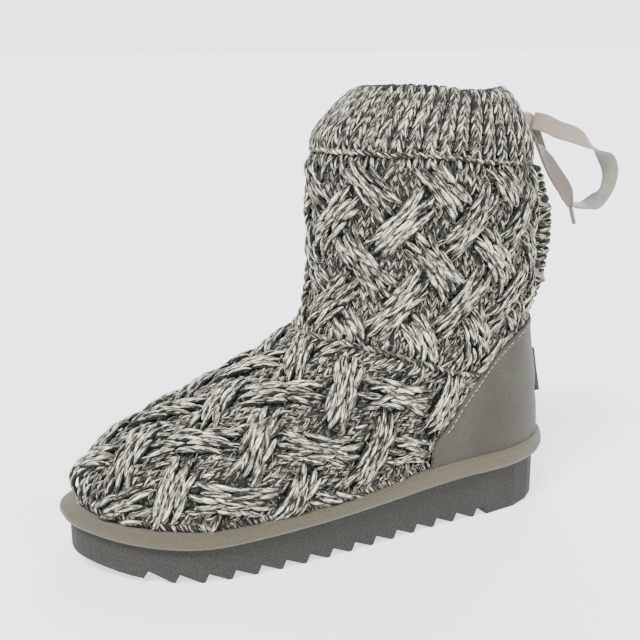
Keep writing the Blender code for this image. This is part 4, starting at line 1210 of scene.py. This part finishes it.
# suede counter: a cut sheet with thickness, a row of stitches near its edge
suede = {
    "base": "38362F", "light": "403E36", "dark": "32302A", "thread": "8A867A",
    "thickness": 1.7, "lift": 0.8, "edge": 0.55,
    "pitch": 3.2, "stitch": 2.3, "threadWidth": 0.65, "inset": 1.8,
    "dent": 0.5, "dentHeight": 58,  # where the heel breaks
    "fold": 0.35,                 # how much fuller the folded edge is
}


# brushed suede: cloudy where the nap lies two ways, matt, a faint bloom toward its edges
def suedeNap():
    made, tree, shader = newMaterial("brushed suede", suede["base"], Roughness=0.95, Sheen_Weight=0.22,
                                     Specular_IOR_Level=0.2)
    place = addNode(tree, "TexCoord")
    cloud = addNode(tree, "TexNoise", {"Vector": (place, "Object"), "Scale": 22.0, "Detail": 5.0,
                                       "Roughness": 0.62, "Distortion": 0.7})
    nap = addNode(tree, "TexNoise", {"Vector": (place, "Object"), "Scale": 900.0, "Detail": 3.0})
    mix = addNode(tree, "Math", {0: (nap, "Fac"), 1: 0.35, 2: (cloud, "Fac")},
                  operation="MULTIPLY_ADD")
    paintRamp(tree, shader, (mix, 0), [(0.52, suede["dark"]), (0.84, suede["light"]), (0.68, suede["base"])])
    paintBump(tree, shader, (nap, "Fac"), 0.6, 0.3)
    return made


suedePaint = suedeNap()
# sewing thread: two plies that catch the light in turn
threadPaint, threadTree, threadShader = newMaterial("polyester thread", suede["thread"], Roughness=0.7)
threadPlace = addNode(threadTree, "UVMap", uv_map="strand")
twist = addNode(threadTree, "TexWave", {"Vector": (threadPlace, 0), "Scale": 600.0},
                bands_direction="DIAGONAL")
paintRamp(threadTree, threadShader, (twist, "Fac"), [(0.0, "76736A"), (1.0, "99958A")])
paintBump(threadTree, threadShader, (twist, "Fac"), 0.5, 0.1)
# leather: fine grain with a low gloss
leather = finePattern("blank olive leather patch", "35342A", "Voronoi", {"Scale": 1700.0},
                      [(0.0, "28261C"), (1.0, "151410")], (0.35, 0.2, True), Roughness=0.55, Coat_Weight=0.1)


def buildCounter():
    columns, rows = 150, 46
    turns = np.linspace(edgeFront[1], edgeFront[0], columns)
    _, along = soleEdge(turns)
    low = featherHeight(along) - 0.3 * mm
    _, high = borderPath(counterTop, turns, 60 * mm)
    shares = np.linspace(0, 1, rows)[:, None]
    z = low + (high - low) * shares
    inset = (high - z) / mm
    # soft dents where the heel breaks, and the folded edge a little fuller
    off = (z / mm - suede["dentHeight"] - 9 * np.sin(turns * 1.4)) / 5.0
    dents = -suede["dent"] * np.exp(-off ** 2) * np.cos(turns * 1.1)
    roll = suede["fold"] * np.exp(-((inset - 2.0) / 1.6) ** 2)
    out = suede["lift"] + dents + roll
    points = formOut(np.broadcast_to(turns, z.shape), z, out * mm)
    piece = makePiece("suedeCounter", points, gridQuads(rows, columns)[:, ::-1], [suedePaint],
                      ["heel_counter"])
    thicken(piece, suede["thickness"], suede["edge"])
    surface = suede["lift"] + suede["thickness"] + 0.1
    stitches = stitchRow(edgeTurns[4:-4], edgeZ[4:-4], suede["pitch"] * mm, suede["stitch"] * mm,
                         suede["threadWidth"] * mm, 0, surface * mm, suede["inset"] * mm, bow=0.2, around=6)
    points, quads, uvs, lots, _ = stitches
    makePiece("counterStitches", points, quads, [threadPaint], uvs=uvs, lots=lots)


# blank leather patch on the back of the counter, its lower edge free, stitched round
patch = {
    "width": 31, "height": 25, "base": 56, "thickness": 2.6, "edge": 0.45, "free": 1.5,
    "pitch": 3.0, "stitch": 2.2, "threadWidth": 0.6, "inset": 1.9,
}


def buildPatch():
    shares = np.linspace(0, 1, 19)[:, None]
    across = np.linspace(-0.5, 0.5, 25) * patch["width"] * mm
    z = (patch["base"] + patch["height"] * shares) * mm + across * 0
    turns = across / perTurn(z * 0, z)
    seat = suede["lift"] + suede["thickness"] + 0.2
    out = seat + patch["free"] * (1 - shares) ** 2 + across * 0
    piece = makePiece("heelPatch", formOut(turns, z, out * mm), gridQuads(*z.shape)[:, ::-1], [leather],
                      ["heel_patch"])
    thicken(piece, patch["thickness"], patch["edge"])
    far = (patch["width"] / 2 - patch["inset"]) * mm
    low, high = patch["base"] + patch["inset"], patch["base"] + patch["height"] - patch["inset"]
    sets = []
    for left, right, first, last in ((-far, far, low, low), (-far, far, high, high), (-far, -far, low, high),
                                     (far, far, low, high)):
        z = np.linspace(first, last, 40) * mm
        turns = np.linspace(left, right, 40) / perTurn(z * 0, z)
        run = runLength(formPoint(turns, z))
        middles = np.arange(1.5 * mm, run[-1] - 1 * mm, patch["pitch"] * mm)
        at = middles[:, None] + np.linspace(-0.5, 0.5, 6) * patch["stitch"] * mm
        turn, height = np.interp(at, run, turns), np.interp(at, run, z)
        share = (height / mm - patch["base"]) / patch["height"]
        out = (seat + patch["free"] * (1 - share) ** 2 + patch["thickness"] + 0.1) * mm
        sets.append(yarnLobes(turn, height, out, patch["threadWidth"] * mm, around=6))
    points, quads, uvs, _, _ = joinSets(sets)
    makePiece("patchStitches", points, quads, [threadPaint], uvs=uvs)


buildCounter()
buildPatch()
print("counter and patch ready")


# twill tape round the midsole: lengths in millimetres
tape = {
    "proud": 4.7, "height": 10.0, "over": 0.3, "rib": 1.15, "slant": -46, "light": "504A3A", "dark": "28251D",
    # share of how far it stands out, share of its height
    "section": [(-1.6, 0.0), (0.3, 0.0), (0.8, 0.10), (1.0, 0.34), (1.0, 0.62), (0.84, 0.88), (0.45, 1.0),
                (-1.6, 1.0)],
}


# cotton twill: slanting ribs with dark furrows, matt
def twill():
    made, tree, shader = newMaterial("cotton twill tape", tape["light"], Roughness=0.88, Sheen_Weight=0.2)
    place = addNode(tree, "UVMap", uv_map="strand")
    turned = addNode(tree, "Mapping", {"Vector": (place, 0),
                                       "Rotation": (0, 0, math.radians(tape["slant"]))})
    ribs = addNode(tree, "TexWave", {"Vector": (turned, 0), "Scale": 314 / tape["rib"],
                                     "Distortion": 0.4, "Detail": 1.0}, bands_direction="X")
    threads = addNode(tree, "TexNoise", {"Vector": (place, 0), "Scale": 900.0, "Detail": 3.0})
    blend = addNode(tree, "Math", {0: (ribs, "Fac"), 1: (threads, "Fac")}, operation="ADD")
    paintRamp(tree, shader, (blend, 0), [(0.45, tape["dark"]), (1.0, tape["light"])])
    paintBump(tree, shader, (ribs, "Fac"), 0.7, 0.25)
    return made


def buildTape():
    rows = np.array(tape["section"])
    at = np.linspace(0, 1, len(rows))
    fine = np.linspace(0, 1, 22)
    proud, rise = np.interp(fine, at, rows[:, 0]), np.interp(fine, at, rows[:, 1])
    turns = np.linspace(0, fullTurn, 361)
    layers, uvs = [], []
    x, along = soleEdge(turns, tape["proud"] * mm)
    length = runLength(np.stack([x, along], 1))
    flat = runLength(np.stack([proud * tape["proud"], rise * tape["height"]], 1)) * mm
    for k in range(len(fine)):
        x, along = soleEdge(turns, proud[k] * tape["proud"] * mm)
        height = tape["height"] * mm - tapeDrop(along)
        layers.append(toWorld(x, along, bandBase(along) + tape["over"] * mm + rise[k] * height))
        uvs.append(np.stack([length, np.full(len(turns), flat[k])], 1))
    quads = gridQuads(len(fine), len(turns))
    close = quads[:len(turns) - 1].copy()
    close[:, :2] += (len(fine) - 1) * len(turns)
    close[:, 2:] -= len(turns)
    makePiece("tapeBand", np.array(layers), np.vstack([quads, close])[:, ::-1], [twill()],
              ["midsole_band"], uvs=np.array(uvs))


buildTape()

# CAD solids that stay: their edges rounded, their own finishes
# foam rubber: dull, with the fine pebble of its mould
foamRubber = finePattern("moulded foam rubber", "2B2C29", "Noise", {"Scale": 1400.0, "Detail": 2.0},
                         [(0.35, "232421"), (0.70, "363733")], (0.6, 0.25),
                         Roughness=0.8, Specular_IOR_Level=0.3)
# acetate film shrunk on the ribbon's tip: glossy, slightly clouded
acetate = finePattern("grey acetate aglet", "5E5E5A", "Noise", {"Scale": 700.0, "Detail": 3.0},
                      [(0.0, "484845"), (1.0, "6C6C67")], Roughness=0.35, Coat_Weight=0.3)
# material, edge radius in millimetres
finishes = {"outsole": (foamRubber, 1.0), "insole": (fleecePaint, 0.8),
            "aglet_outer": (acetate, 0.3), "aglet_inner": (acetate, 0.3)}
for node, (paint, rounding) in finishes.items():
    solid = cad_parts[node]
    for slot in solid.material_slots:
        slot.material = paint
    roundEdges(solid, "rounding", rounding, 40)
print("sole and trim ready")
